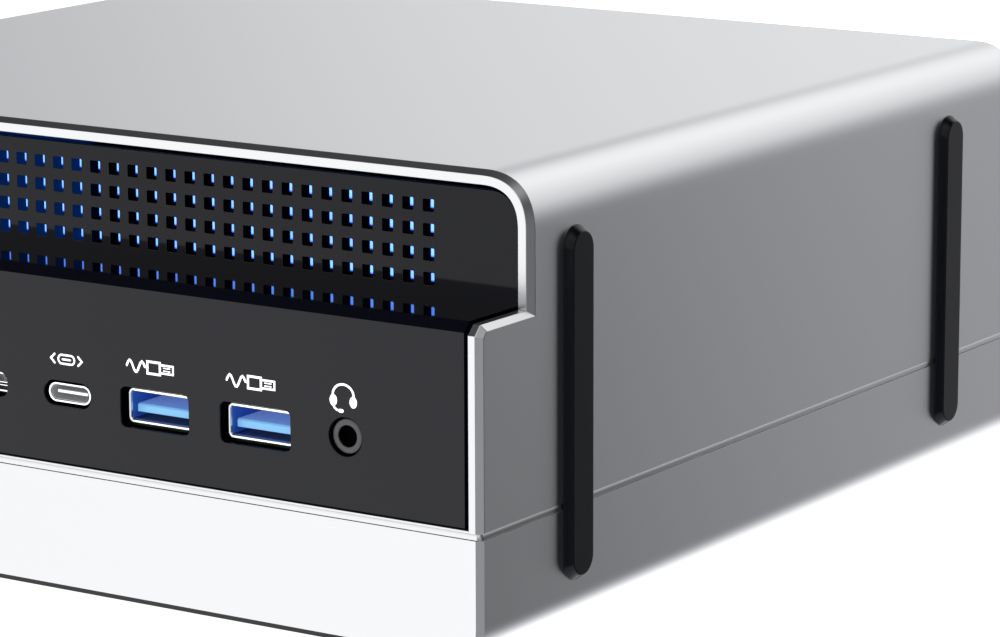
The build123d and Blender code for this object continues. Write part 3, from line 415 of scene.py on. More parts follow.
class Skin:
    """Collects a piece's points and faces in millimetres."""

    def __init__(self) -> None:
        """Start with nothing."""
        self.points: list[Vector] = []
        self.faces: list[tuple[int, ...]] = []

    def ring(self, points: Sequence[Vector]) -> list[int]:
        """Add points.

        Args:
            points: The points, in order.

        Returns:
            Their numbers.
        """
        start = len(self.points)
        self.points.extend(points)
        return list(range(start, start + len(points)))

    def bridge(self, one: Sequence[int], other: Sequence[int], closed: bool = True) -> None:
        """Join two rings of the same length with a strip of faces.

        Args:
            one: Point numbers of the first ring.
            other: Point numbers of the second ring.
            closed: Whether the last points join the first ones.
        """
        count = len(one)
        for i in range(count if closed else count - 1):
            j = (i + 1) % count
            self.faces.append((one[i], one[j], other[j], other[i]))

    def join(self, rings: Sequence[Sequence[int]]) -> None:
        """Bridge rings in order."""
        for one, other in zip(rings, rings[1:]):
            self.bridge(one, other)

    def cap(self, ring: Sequence[int]) -> None:
        """Close a ring with one face."""
        self.faces.append(tuple(ring))

    def fill(self, rings: Sequence[Sequence[int]]) -> None:
        """Fill the flat area between an outer ring and the holes in it.

        Args:
            rings: Point numbers, the outer ring first.
        """
        numbers = [n for ring in rings for n in ring]
        loops = [[self.points[n] for n in ring] for ring in rings]
        for corner in tessellate_polygon(loops):
            self.faces.append(tuple(numbers[i] for i in corner))

    def loft(self, loops: Sequence[Loop], ends: bool = True) -> list[list[int]]:
        """Add closed loops and skin them in order.

        Args:
            loops: Loops with the same number of points.
            ends: Whether the first and last loop are capped.

        Returns:
            The point numbers of each loop.
        """
        rings = [self.ring(loop) for loop in loops]
        self.join(rings)
        if ends:
            self.cap(rings[0])
            self.cap(rings[-1])
        return rings

    def block(self, low: Triple, high: Triple) -> None:
        """Add a closed box between two corners."""
        (x0, y0, z0), (x1, y1, z1) = low, high
        self.loft([[Vector((x, y, z)) for x, y in ((x0, y0), (x1, y0), (x1, y1), (x0, y1))]
                   for z in (z0, z1)])

    def piece(self, name: str, soft_mm: float = 0.0, closed: bool = True, crease_deg: float = 32.0) -> Object:
        """Make the object.

        Args:
            name: The piece's name.
            soft_mm: Width of the small rounding on its edges.
            closed: Whether it is a closed skin whose faces are turned outwards.
            crease_deg: Edges sharper than this stay sharp.

        Returns:
            The object, at the origin, with plain mesh data.
        """
        mesh = bpy.data.meshes.new(name)
        mesh.from_pydata([p * MM for p in self.points], [], self.faces)
        merge(mesh, MERGE_GAP, closed)
        obj = bpy.data.objects.new(name, mesh)
        bpy.context.scene.collection.objects.link(obj)
        shade(mesh, crease_deg)
        if soft_mm:
            bevel = obj.modifiers.new("soft_edges", "BEVEL")
            bevel.width = soft_mm * MM
            bevel.segments = 2
            bevel.limit_method = "ANGLE"
            bevel.angle_limit = radians(crease_deg - 2)
            bevel.harden_normals = True
            settle(obj)
        return obj


def merge(mesh: Mesh, gap: float, turn_out: bool = True) -> None:
    """Make points that lie together one, and turn the faces outwards.

    Args:
        mesh: The mesh.
        gap: How close, in metres, such points lie.
        turn_out: Whether its faces are turned.
    """
    shape = bmesh.new()
    shape.from_mesh(mesh)
    bmesh.ops.remove_doubles(shape, verts=shape.verts, dist=gap)
    if turn_out:
        bmesh.ops.recalc_face_normals(shape, faces=shape.faces)
    shape.to_mesh(mesh)
    shape.free()


def shade(mesh: Mesh, angle_deg: float = 32.0) -> None:
    """Shade a mesh smoothly except across its sharp edges."""
    mesh.shade_smooth()
    mesh.set_sharp_from_angle(angle=radians(angle_deg))


def settle(obj: Object) -> None:
    """Turn an object and its modifiers into one plain mesh.

    Args:
        obj: The object, which keeps its name.
    """
    bpy.context.view_layer.update()
    evaluated = obj.evaluated_get(bpy.context.evaluated_depsgraph_get())
    mesh = bpy.data.meshes.new_from_object(evaluated)
    obj.modifiers.clear()
    obj.data = mesh
    mesh.name = obj.name


def dress(
    obj: Object, finish: Finish, slot: str = "", *nodes: str, body: str = "casing"
) -> Object:
    """Give a finished piece its material and body, and hide the CAD nodes that it stands for.

    Args:
        obj: The piece.
        finish: Its finish.
        slot: The record's material slot, if it has one. It is not used.
        nodes: CAD nodes that it replaces.
        body: The body that it rides on.

    Returns:
        The same piece.
    """
    obj.data.materials.clear()
    obj.data.materials.append(material_of(finish))
    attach(obj, body)
    if nodes:
        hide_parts(*nodes)
    LOG.info("%s: %d faces, %s", obj.name, len(obj.data.polygons), finish.name)
    return obj


def flat_loop(points: Sequence[Pair], y: float) -> Loop:
    """Place (x, z) points in the upright plane at y."""
    return [Vector((x, y, z)) for x, z in points]


def rounded_box(centre: Pair, size: Pair, radius: float, inset: float = 0.0, steps: int = 6) -> list[Pair]:
    """Outline of a rectangle with rounded corners.

    Args:
        centre: Its middle.
        size: Its width and height.
        radius: Its corner radius.
        inset: How far the whole outline is moved inwards.
        steps: Segments in each corner.

    Returns:
        The outline, counter-clockwise from the right side.
    """
    half_w, half_h = size[0] / 2 - inset, size[1] / 2 - inset
    bend = min(max(radius - inset, 0.02), half_w - 0.01, half_h - 0.01)
    outline = []
    for quarter, (sx, sz) in enumerate(((1, 1), (-1, 1), (-1, -1), (1, -1))):
        for i in range(steps + 1):
            angle = pi / 2 * (quarter + i / steps)
            outline.append((centre[0] + sx * (half_w - bend) + bend * cos(angle),
                            centre[1] + sz * (half_h - bend) + bend * sin(angle)))
    return outline


def angles(steps: int, sweep: float = pi / 2, start: float = 0.0) -> list[float]:
    """Angles in equal steps from start over sweep, with both ends."""
    return [start + sweep * i / steps for i in range(steps + 1)]


def both_sides(right: Sequence[Pair], x: float = 0.0) -> list[Pair]:
    """Outline that is its right half, from foot to top, and that half's image in x."""
    return [*right, *((2 * x - a, b) for a, b in reversed(right))]


def circle(centre: Pair, radius: float, steps: int = 48) -> list[Pair]:
    """Outline of a circle."""
    turns = angles(steps, 2 * pi)[:-1]
    return [(centre[0] + radius * cos(t), centre[1] + radius * sin(t)) for t in turns]


def turned(centre: Pair, profile: Sequence[Pair], steps: int = 48) -> Skin:
    """Skin of a part turned about an axis that runs from front to back.

    Args:
        centre: The axis' x and z.
        profile: (radius, y) pairs from one end to the other.
        steps: Segments round the axis.

    Returns:
        The closed skin.
    """
    return swept(lambda radius: circle(centre, radius, steps), profile)


def swept(outline: Outline, rows: Sequence[Pair]) -> Skin:
    """Skin of a part whose outline is drawn in and out along its depth.

    Args:
        outline: Its outline.
        rows: (inset, y) pairs from one end to the other.

    Returns:
        The closed skin.
    """
    skin = Skin()
    skin.loft([flat_loop(outline(inset), y) for inset, y in rows])
    return skin


def edge_round(radius: float, steps: int = 3) -> list[Pair]:
    """(inset, depth) pairs of a rounded edge, from the face to the side.

    Args:
        radius: Radius of the rounding.
        steps: Number of steps round it.

    Returns:
        The pairs, with a support line on the face first.
    """
    support = 0.02
    bends = ((radius * (1 - sin(t)), radius * (1 - cos(t))) for t in angles(steps))
    return [(radius + support, 0.0), *bends]


# --- Geometry Nodes ---


class CopyTree:
    """A tree that sets copies of one object on points and joins them with the piece's own mesh."""

    def __init__(self, name: str) -> None:
        """Start the tree with its shared inputs.

        Args:
            name: The tree's name.
        """
        self.tree = bpy.data.node_groups.new(name, "GeometryNodeTree")
        self.sockets: dict[str, str] = {}
        self.entry = add_node(self.tree, "NodeGroupInput")
        self.add_input("Own Mesh", "NodeSocketGeometry")
        self.add_input("Part", "NodeSocketObject")
        self.add_input("Finish", "NodeSocketMaterial")
        self.tree.interface.new_socket(name="Mesh", in_out="OUTPUT", socket_type="NodeSocketGeometry")

    def add_input(self, name: str, kind: str) -> None:
        """Add a named input and remember its identifier."""
        self.sockets[name] = self.tree.interface.new_socket(name=name, in_out="INPUT",
                                                            socket_type=kind).identifier

    def close(self, points: Socket, rotation: Socket | None = None,
              keep_own: bool = True) -> None:
        """Put the part on the points and lead the result out.

        Args:
            points: Geometry whose points get a copy.
            rotation: Turn of each copy.
            keep_own: Whether the piece's own mesh stays.
        """
        part = add_node(self.tree, "GeometryNodeObjectInfo", None, {"Object": self.entry.outputs["Part"]})
        feeds: Feeds = {"Points": points, "Instance": part.outputs["Geometry"]}
        if rotation is not None:
            feeds["Rotation"] = rotation
        copies = add_node(self.tree, "GeometryNodeInstanceOnPoints", None, feeds)
        real = add_node(self.tree, "GeometryNodeRealizeInstances", None, {0: copies})
        joined = add_node(self.tree, "GeometryNodeJoinGeometry")
        self.tree.links.new(real.outputs[0], joined.inputs[0])
        if keep_own:
            self.tree.links.new(self.entry.outputs["Own Mesh"], joined.inputs[0])
        merged = add_node(self.tree, "GeometryNodeMergeByDistance", None,
                          {"Geometry": joined, "Distance": CELL_GAP})
        dressed = add_node(self.tree, "GeometryNodeSetMaterial", None,
                           {"Geometry": merged, "Material": self.entry.outputs["Finish"]})
        add_node(self.tree, "NodeGroupOutput", None, {0: dressed})

    def run(self, obj: Object, part: Object, finish: Finish, values: dict[str, object]) -> None:
        """Run the tree on a piece, leave a plain mesh and remove the part.

        Args:
            obj: The piece that carries the tree.
            part: What is copied.
            finish: The result's finish.
            values: The tree's other inputs, by name.
        """
        modifier = obj.modifiers.new("copies", "NODES")
        modifier.node_group = self.tree
        for name, value in {"Part": part, "Finish": material_of(finish), **values}.items():
            modifier[self.sockets[name]] = value
        settle(obj)
        bpy.data.objects.remove(part)


def grid_tree() -> CopyTree:
    """Tree that fills a rectangular field with copies.

    Returns:
        The tree, with inputs Columns, Rows, Pitch Across, Pitch Up, Middle and Turn.
    """
    copy = CopyTree("field_of_holes")
    tree, entry = copy.tree, copy.entry
    for name, kind in (("Columns", "NodeSocketInt"), ("Rows", "NodeSocketInt"),
                       ("Pitch Across", "NodeSocketFloat"),
                       ("Pitch Up", "NodeSocketFloat"), ("Middle", "NodeSocketVector"),
                       ("Turn", "NodeSocketVector")):
        copy.add_input(name, kind)
    spans = []
    for count, pitch in (("Columns", "Pitch Across"), ("Rows", "Pitch Up")):
        gaps = add_node(tree, "ShaderNodeMath", {"operation": "SUBTRACT"}, {0: entry.outputs[count], 1: 1.0})
        span = add_node(tree, "ShaderNodeMath", {"operation": "MULTIPLY"},
                        {0: gaps, 1: entry.outputs[pitch]})
        spans.append(span.outputs[0])
    grid = add_node(tree, "GeometryNodeMeshGrid", None,
                    {"Size X": spans[0], "Size Y": spans[1], "Vertices X": entry.outputs["Columns"],
                     "Vertices Y": entry.outputs["Rows"]})
    placed = add_node(tree, "GeometryNodeTransform", None,
                      {"Geometry": grid.outputs["Mesh"], "Translation": entry.outputs["Middle"],
                       "Rotation": entry.outputs["Turn"]})
    copy.close(placed.outputs[0])
    return copy


def spot_tree() -> CopyTree:
    """Tree that sets a copy on each point of the piece's own mesh, which then goes.

    Returns:
        The tree.
    """
    copy = CopyTree("parts_on_spots")
    copy.close(copy.entry.outputs["Own Mesh"], keep_own=False)
    return copy


def ring_tree() -> CopyTree:
    """Tree that sets copies evenly round an upright axis, each turned to face outwards.

    Returns:
        The tree, with inputs Count and Middle.
    """
    copy = CopyTree("blades_round_hub")
    tree, entry = copy.tree, copy.entry
    copy.add_input("Count", "NodeSocketInt")
    copy.add_input("Middle", "NodeSocketVector")
    line = add_node(tree, "GeometryNodeMeshLine", None,
                    {"Count": entry.outputs["Count"], "Start Location": entry.outputs["Middle"],
                     "Offset": (0.0, 0.0, 0.0)})
    number = add_node(tree, "GeometryNodeInputIndex")
    step = add_node(tree, "ShaderNodeMath", {"operation": "DIVIDE"}, {0: 2 * pi, 1: entry.outputs["Count"]})
    angle = add_node(tree, "ShaderNodeMath", {"operation": "MULTIPLY"}, {0: number, 1: step})
    turn = add_node(tree, "ShaderNodeCombineXYZ", None, {2: angle})
    copy.close(line.outputs[0], rotation=turn.outputs[0])
    return copy


HOLES_IN_FIELD, PARTS_ON_SPOTS, BLADES_ROUND_HUB = grid_tree(), spot_tree(), ring_tree()


@dataclass
class Field:
    """A rectangle of equal holes in a plate."""

    middle: Pair
    columns: int
    rows: int
    pitch: Pair
    hole: Outline

    def border(self) -> list[Pair]:
        """Outline of the field with a point wherever two cells meet.

        Returns:
            The points as (x, z), once round.
        """
        half_w, half_h = self.columns * self.pitch[0] / 2, self.rows * self.pitch[1] / 2
        xs = [self.middle[0] - half_w + i * self.pitch[0] for i in range(self.columns + 1)]
        zs = [self.middle[1] - half_h + i * self.pitch[1] for i in range(self.rows + 1)]
        return ([(x, zs[0]) for x in xs] + [(xs[-1], z) for z in zs[1:]]
                + [(x, zs[-1]) for x in reversed(xs[:-1])] + [(xs[0], z) for z in reversed(zs[1:-1])])


def pierce(skin: Skin, hole: Outline, ends: Pair, edge: float, draft: float, front: list[list[int]],
           rear: list[list[int]]) -> None:
    """Add a hole's wall, with a rounded edge at the face.

    Args:
        skin: The skin that gets the wall.
        hole: The hole's outline.
        ends: y of the face and of the back.
        edge: Radius of the rounding at the face.
        draft: How much narrower the hole is at the back, on each side.
        front: Rings of the face, to which the hole's mouth is added.
        rear: Rings of the back, to which the hole's end is added.
    """
    walls = [*((-inset, ends[0] + depth) for inset, depth in edge_round(edge, 2)), (draft, ends[1])]
    rings = [skin.ring(flat_loop(hole(inset), y)) for inset, y in walls]
    skin.join(rings)
    front.append(rings[0])
    rear.append(rings[-1])


@dataclass
class Plate:
    """A moulded or punched plate with rounded edges, single holes and fields of holes.

    It stands upright with its face at y = face. Its steps are (inset, depth) pairs of its side.
    """

    outline: Outline
    face: float
    back: float
    steps: list[Pair]
    holes: list[Outline]
    fields: list[Field]
    hole_edge: float = 0.15
    draft: float = 0.0

    def build(self, name: str, finish: Finish) -> Object:
        """Make the plate.

        Args:
            name: The piece's name.
            finish: Its finish.

        Returns:
            The piece.
        """
        skin, ends = Skin(), (self.face, self.back)
        rims = [skin.ring(flat_loop(self.outline(inset), self.face + depth)) for inset, depth in self.steps]
        skin.join(rims)
        front, rear = [rims[0]], [rims[-1]]
        for hole in self.holes:
            pierce(skin, hole, ends, self.hole_edge, self.draft, front, rear)
        for field in self.fields:
            for side, y in zip((front, rear), ends):
                side.append(skin.ring(flat_loop(field.border(), y)))
        skin.fill(front)
        skin.fill(rear)
        obj = skin.piece(name, closed=False)
        for field in self.fields:
            HOLES_IN_FIELD.run(
                obj, self.cell(name, field), finish,
                {"Columns": field.columns, "Rows": field.rows, "Pitch Across": field.pitch[0] * MM,
                 "Pitch Up": field.pitch[1] * MM, "Turn": (pi / 2, 0.0, 0.0),
                 "Middle": (field.middle[0] * MM, 0.0, field.middle[1] * MM)})
        merge(obj.data, CELL_GAP)
        shade(obj.data)
        return obj

    def cell(self, name: str, field: Field) -> Object:
        """Make one cell of a field: a square of plate with its hole.

        Args:
            name: Name of the plate that the cell belongs to.
            field: The field that it repeats in.

        Returns:
            The cell, with its middle at the origin.
        """
        skin, ends = Skin(), (self.face, self.back)
        across, up = field.pitch[0] / 2, field.pitch[1] / 2
        square = [(-across, -up), (across, -up), (across, up), (-across, up)]
        near, far = ([skin.ring(flat_loop(square, y))] for y in ends)
        pierce(skin, field.hole, ends, self.hole_edge, self.draft, near, far)
        skin.fill(near)
        skin.fill(far)
        return skin.piece(name + "_cell", closed=False)


# --- The computer ---


def span_mm(node: str) -> tuple[Vector, Vector]:
    """Give a CAD node's lowest and highest corner in millimetres."""
    low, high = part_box(node)
    return low / MM, high / MM


def front_view(node: str) -> tuple[Pair, Pair]:
    """Give the middle of a node across and up, and its width and height, in millimetres."""
    low, high = span_mm(node)
    return ((low.x + high.x) / 2, (low.z + high.z) / 2), (high.x - low.x, high.z - low.z)


def box_outline(centre: Pair, size: Pair, radius: float, steps: int) -> Outline:
    """Give the outline of a rounded box, still free to be drawn in."""
    return lambda inset: rounded_box(centre, size, radius, inset, steps)


def upright_screws(node: str) -> list[Pair]:
    """Find the middles, as (x, y), of four upright screws at the corners of a node's box."""
    low, high = span_mm(node)
    return [(x, y) for x in (low.x + HEAD_RADIUS, high.x - HEAD_RADIUS)
            for y in (low.y + HEAD_RADIUS, high.y - HEAD_RADIUS)]


SHELL_LOW, SHELL_HIGH = span_mm("upper_shell")
BASE_LOW, BASE_HIGH = span_mm("base_shell")
GRILLE_LOW, GRILLE_HIGH = span_mm("front_grille")
PANEL_LOW, PANEL_HIGH = span_mm("front_panel")
REAR_LOW, REAR_HIGH = span_mm("rear_panel")
RIGHT, FRONT, BACK, TOP = SHELL_HIGH.x, SHELL_LOW.y, SHELL_HIGH.y, SHELL_HIGH.z
SEAM_LOW, SEAM_HIGH = BASE_HIGH.z, SHELL_LOW.z
SHELF = PANEL_HIGH.z
WALL = 2.33             # wall of both shells
INNER = RIGHT - WALL
FIT_GAP = 0.77          # air between the shell and the black front
HEAD_RADIUS = 2.9       # every outside screw's head


def lay_down(obj: Object, z: float = 0.0) -> None:
    """Lay an upright piece face down at z: its depth becomes its height."""
    obj.data.transform(Matrix(((1, 0, 0, 0), (0, 0, 1, 0), (0, 1, 0, z * MM), (0, 0, 0, 1))))
    obj.data.flip_normals()


def face_back(obj: Object) -> None:
    """Turn a piece that is drawn with its face in front to the back, as in a mirror."""
    obj.data.transform(Matrix.Scale(-1, 4, Vector((0, 1, 0))))
    obj.data.flip_normals()


@dataclass
class Section:
    """Right half of a wall's cross-section: points with outward normals, from foot to middle."""

    spots: list[Four]

    def at(self, index: int, depth: float, y: float) -> Vector:
        """Give the point below a spot's outer surface, at y."""
        x, z, nx, nz = self.spots[index]
        return Vector((x - nx * depth, y, z - nz * depth))


def bend(size: float, power: float, steps: int) -> list[Four]:
    """Quarter of a superellipse about its centre, from the right to the top.

    Args:
        size: Its half-axes.
        power: Its exponent; 2 is a circle and more is fuller.
        steps: Number of segments.

    Returns:
        (x, z, normal x, normal z) of each point.
    """
    spots = []
    for angle in angles(steps):
        x, z = max(0.0, cos(angle)) ** (2 / power), sin(angle) ** (2 / power)
        normal = Vector((x ** (power - 1), z ** (power - 1))).normalized()
        spots.append((size * x, size * z, normal.x, normal.y))
    return spots


def mirrored(points: Sequence[Vector]) -> Loop:
    """Give points on the other side of the middle."""
    return [Vector((-p.x, p.y, p.z)) for p in points]


@dataclass
class Casing:
    """Silver shells, the bead in their seam, the bottom plate, its pads and the side strips."""

    bend_size: float = 9.3
    bend_power: float = 2.38
    bend_steps: int = 26
    chamfer: float = 1.0
    rim_run: float = 1.5
    rim_drop: float = 0.76
    step_top: float = 55.7
    step_depth: float = 14.43
    step_cut: float = 1.6
    lip: float = 8.0
    low_bend: float = 5.7
    soft: float = 0.09
    support: float = 0.4
    fascia_low: float = 1.6
    strip_shift: float = 0.4
    plate_thick: float = 0.86

    def build(self) -> None:
        """Make every piece of the casing."""
        self.upper_shell()
        self.base_shell()
        self.seam_bead()
        self.bottom_plate()
        self.pads()
        for place in ("front", "rear"):
            self.side_strip(place)

    def upper_shell(self) -> None:
        """Silver cover: an inverted channel, stepped at the front, with cut rims."""
        step_face = FRONT + self.step_depth
        corner = TOP - self.bend_size
        flat = [(RIGHT, z, 1.0, 0.0) for z in (SEAM_HIGH, self.step_top - self.step_cut, self.step_top)]
        flat += [(RIGHT, self.step_top, 1.0, 0.0), (RIGHT, corner - self.support, 1.0, 0.0)]
        arc = [(RIGHT - self.bend_size + x, corner + z, nx, nz)
               for x, z, nx, nz in bend(self.bend_size, self.bend_power, self.bend_steps)]
        section = Section(flat + arc + [(RIGHT - self.bend_size - self.support, TOP, 0.0, 1.0)])
        count = len(section.spots)
        edge_y = [FRONT, FRONT, FRONT + self.step_cut, *([step_face] * (count - 3))]
        half_turn = self.chamfer * (sqrt(2) - 1)
        drop = [0.0, half_turn, self.chamfer, self.chamfer, *([0.0] * (count - 4))]
        run = [self.chamfer, self.chamfer, half_turn, *([self.rim_run] * (count - 3))]
        cut = [self.chamfer, self.chamfer, self.chamfer, *([self.rim_drop] * (count - 3))]
        last_flat = len(flat) - 1
        skin = Skin()
        every = range(count)
        front = {
            "outer": [section.at(i, 0, edge_y[i] + run[i]) - Vector((0, 0, drop[i])) for i in every],
            "face": [section.at(i, cut[i], edge_y[i]) for i in every],
            "inner": [section.at(i, WALL, edge_y[i]) for i in every],
        }
        rear = {
            "outer": [section.at(i, 0, BACK - self.chamfer) for i in every],
            "face": [section.at(i, self.chamfer, BACK) for i in every],
            "inner": [section.at(i, WALL, BACK) for i in every],
        }
        for side in (lambda points: points, mirrored):
            rings = {(end, name): skin.ring(side(points)) for end, set_ in (("f", front), ("r", rear))
                     for name, points in set_.items()}
            for end in "fr":
                skin.bridge(rings[end, "outer"], rings[end, "face"], closed=False)
                skin.bridge(rings[end, "face"], rings[end, "inner"], closed=False)
            for name in ("outer", "inner"):
                near, far = rings["f", name], rings["r", name]
                skin.cap(near[: last_flat + 1] + [far[last_flat], far[0]])
                skin.bridge(near[last_flat:], far[last_flat:], closed=False)
            skin.cap([rings[end, name][0] for end, name in
                      (("f", "outer"), ("f", "face"), ("f", "inner"), ("r", "inner"), ("r", "face"),
                       ("r", "outer"))])
        for points in (front, rear):
            for one, other in (("outer", "face"), ("face", "inner")):
                ends = (points[one][-1], points[other][-1])
                skin.loft([[ends[0], ends[1]], mirrored(ends)], ends=False)
        for name in ("outer", "inner"):
            near, far = front[name][-1], rear[name][-1]
            skin.cap(skin.ring([near, far, *mirrored([far, near])]))
        skin.faces = [f for f in skin.faces if len(set(f)) > 2]
        sill_top = SEAM_HIGH + 0.42
        skin.block((-INNER - 0.2, FRONT, SEAM_HIGH), (INNER + 0.2, FRONT + WALL, sill_top))
        dress(skin.piece("upper_cover", self.soft, crease_deg=21.0), SILVER, "silver_shell", "upper_shell")

    def base_shell(self) -> None:
        """Silver tray: front wall and two sides with rounded feet that turn in under the computer."""
        low = BASE_LOW.z
        lip_x = RIGHT - self.lip
        arc = [(RIGHT - self.low_bend + x, low + self.low_bend - z, nx, -nz)
               for x, z, nx, nz in bend(self.low_bend, 2.05, 16)]
        section = Section([(RIGHT, SEAM_LOW, 1.0, 0.0), (RIGHT, low + self.low_bend + self.support, 1.0, 0.0),
                           *arc,
                           (lip_x, low, 0.0, -1.0)])
        every = range(len(section.spots))
        cut = [self.chamfer * section.spots[i][2] ** 2 for i in every]
        fascia_back = FRONT + WALL
        face = [section.at(i, cut[i], FRONT) for i in every]
        outer = [section.at(i, 0, FRONT + cut[i]) for i in every]
        outer_back = [section.at(i, 0, BACK - cut[i]) for i in every]
        face_back = [section.at(i, cut[i], BACK) for i in every]
        inner = [section.at(i, WALL, fascia_back) for i in every]
        inner_back = [section.at(i, WALL, BACK) for i in every]
        low_front = Vector((lip_x, FRONT, self.fascia_low))
        low_back = Vector((lip_x, fascia_back, self.fascia_low))
        skin = Skin()
        for side in (lambda points: list(points), mirrored):
            rings = [skin.ring(side(points))
                     for points in (face, outer, outer_back, face_back, inner_back, inner)]
            for one, other in zip(rings, rings[1:]):
                if one is not rings[3]:
                    skin.bridge(one, other, closed=False)
            skin.cap(rings[3] + rings[4][::-1])
            lip = [face[-1], face_back[-1], inner_back[-1], inner[-1], low_back, low_front]
            skin.cap(skin.ring(side(lip)))
        skin.cap(skin.ring([*face, low_front, *mirrored([low_front]), *mirrored(face[::-1])]))
        skin.cap(skin.ring([*inner, low_back, *mirrored([low_back]), *mirrored(inner[::-1])]))
        skin.cap(skin.ring([low_front, low_back, *mirrored([low_back, low_front])]))
        rim = [face[0], outer[0], outer_back[0], face_back[0], inner_back[0], inner[0]]
        skin.cap(skin.ring([*rim, *mirrored(rim[::-1])]))
        dress(skin.piece("base_tray", self.soft), SILVER, "silver_shell", "base_shell")

    def seam_bead(self) -> None:
        """Soft bead that fills the seam, a little behind the faces of the shells and leaning back."""
        top_in, low_in, soft, corner, depth, gap = 0.3, 0.17, 0.1, 1.1, 1.4, 0.04
        half = (SEAM_HIGH - SEAM_LOW) / 2 - gap
        middle = (SEAM_LOW + SEAM_HIGH) / 2
        profile = [(-depth, -half), (-low_in - soft, -half), (-low_in - 0.02, -half + 0.03),
                   (-low_in, -half + soft),
                   (-top_in, half - soft), (-top_in - 0.03, half - 0.03), (-top_in - soft, half),
                   (-depth, half)]
        turns = angles(8)
        path = [(RIGHT, BACK - 1.5, 1.0, 0.0)]
        path += [(RIGHT - corner + corner * cos(t), FRONT + corner - corner * sin(t),
                  cos(t), -sin(t)) for t in turns]
        path += [(-x, y, -nx, ny) for x, y, nx, ny in reversed(path)]
        skin = Skin()
        skin.loft([[Vector((x + nx * out, y + ny * out, middle + up)) for out, up in profile]
                   for x, y, nx, ny in path])
        dress(skin.piece("seam_trim"), SILVER, "silver_shell", "seam_bead")

    def bottom_plate(self) -> None:
        """Black plate with air slots, screw wells and a thin edge that shows under the fascia."""
        low, high = span_mm("bottom_plate")
        low.y, low.z = FRONT + 0.2, low.z - 0.28
        thick = self.plate_thick
        middle = ((low.x + high.x) / 2, (low.y + high.y) / 2)
        size = (high.x - low.x, high.y - low.y)
        wells = [lambda inset, s=spot: circle(s, 3.1 - inset, 28) for spot in upright_screws("plate_screws")]
        field = Field((0.0, 0.0), 17, 3, (7.0, 34.0), box_outline((0, 0), (3.2, 26.0), 1.6, 5))
        plate = Plate(box_outline(middle, size, 1.2, 4), 0.0, thick,
                      [*edge_round(0.12, 2), (0.0, thick)], wells, [field], 0.2)
        obj = plate.build("bottom_cover", POWDER_COAT)
        lay_down(obj, low.z)
        dress(obj, POWDER_COAT, "black_plate", "bottom_plate")

    def pads(self) -> None:
        """Four round rubber pads with a raised rim."""
        low, high = span_mm("foot_pads")
        radius = 9.0
        skin = Skin()
        profile = [(radius, high.z), (radius, 0.35), (radius - 0.12, 0.1), (radius - 0.4, 0.0),
                   (radius - 1.8, 0.0),
                   (radius - 2.1, 0.18), (radius - 2.3, 0.25), (0.6, 0.25)]
        for x in (low.x + radius, high.x - radius):
            for y in (low.y + radius, high.y - radius):
                skin.loft([[Vector((px, py, z)) for px, py in circle((x, y), r, 48)] for r, z in profile])
        dress(skin.piece("rubber_pads"), RUBBER, "soft_rubber", "foot_pads")

    def side_strip(self, place: str) -> None:
        """Rubber strip with tapered flanks and a rounded face.

        Args:
            place: "front" or "rear".
        """
        node = f"side_strip_{place}"
        low, high = span_mm(node)
        middle, out = (low.y + high.y) / 2 + self.strip_shift, high.x - RIGHT
        foot_half, face_half, flank, crown, support, up, down = 3.62, 3.16, 0.86, 0.26, 0.12, 0.95, 0.85
        taper = [(foot_half, 0.0, 0.0, 0.0), (foot_half, 0.12, 0.0, 0.0), (3.5, 0.2, 0.08, 0.1),
                 (face_half, flank * out, up, down)]
        for angle in angles(4)[1:]:
            turn = crown * (1 - cos(angle))
            taper.append((face_half - turn, (flank + (1 - flank) * sin(angle)) * out, up + turn, down + turn))
        half, lift, up, down = taper[-1]
        taper.append((half - support, lift, up + support, down + support))
        skin = Skin()
        loops = []
        for half, lift, up, down in taper:
            foot, head = low.z + up + half, high.z - down - half
            arc = angles(20, pi)
            loop = [Vector((RIGHT + lift, middle + half * cos(t), head + half * sin(t))) for t in arc]
            loop += [Vector((RIGHT + lift, middle - half * cos(t), foot - half * sin(t))) for t in arc]
            loops.append(loop)
        skin.loft(loops)
        dress(skin.piece(f"standing_strip_{place}"), RUBBER, "soft_rubber", node)


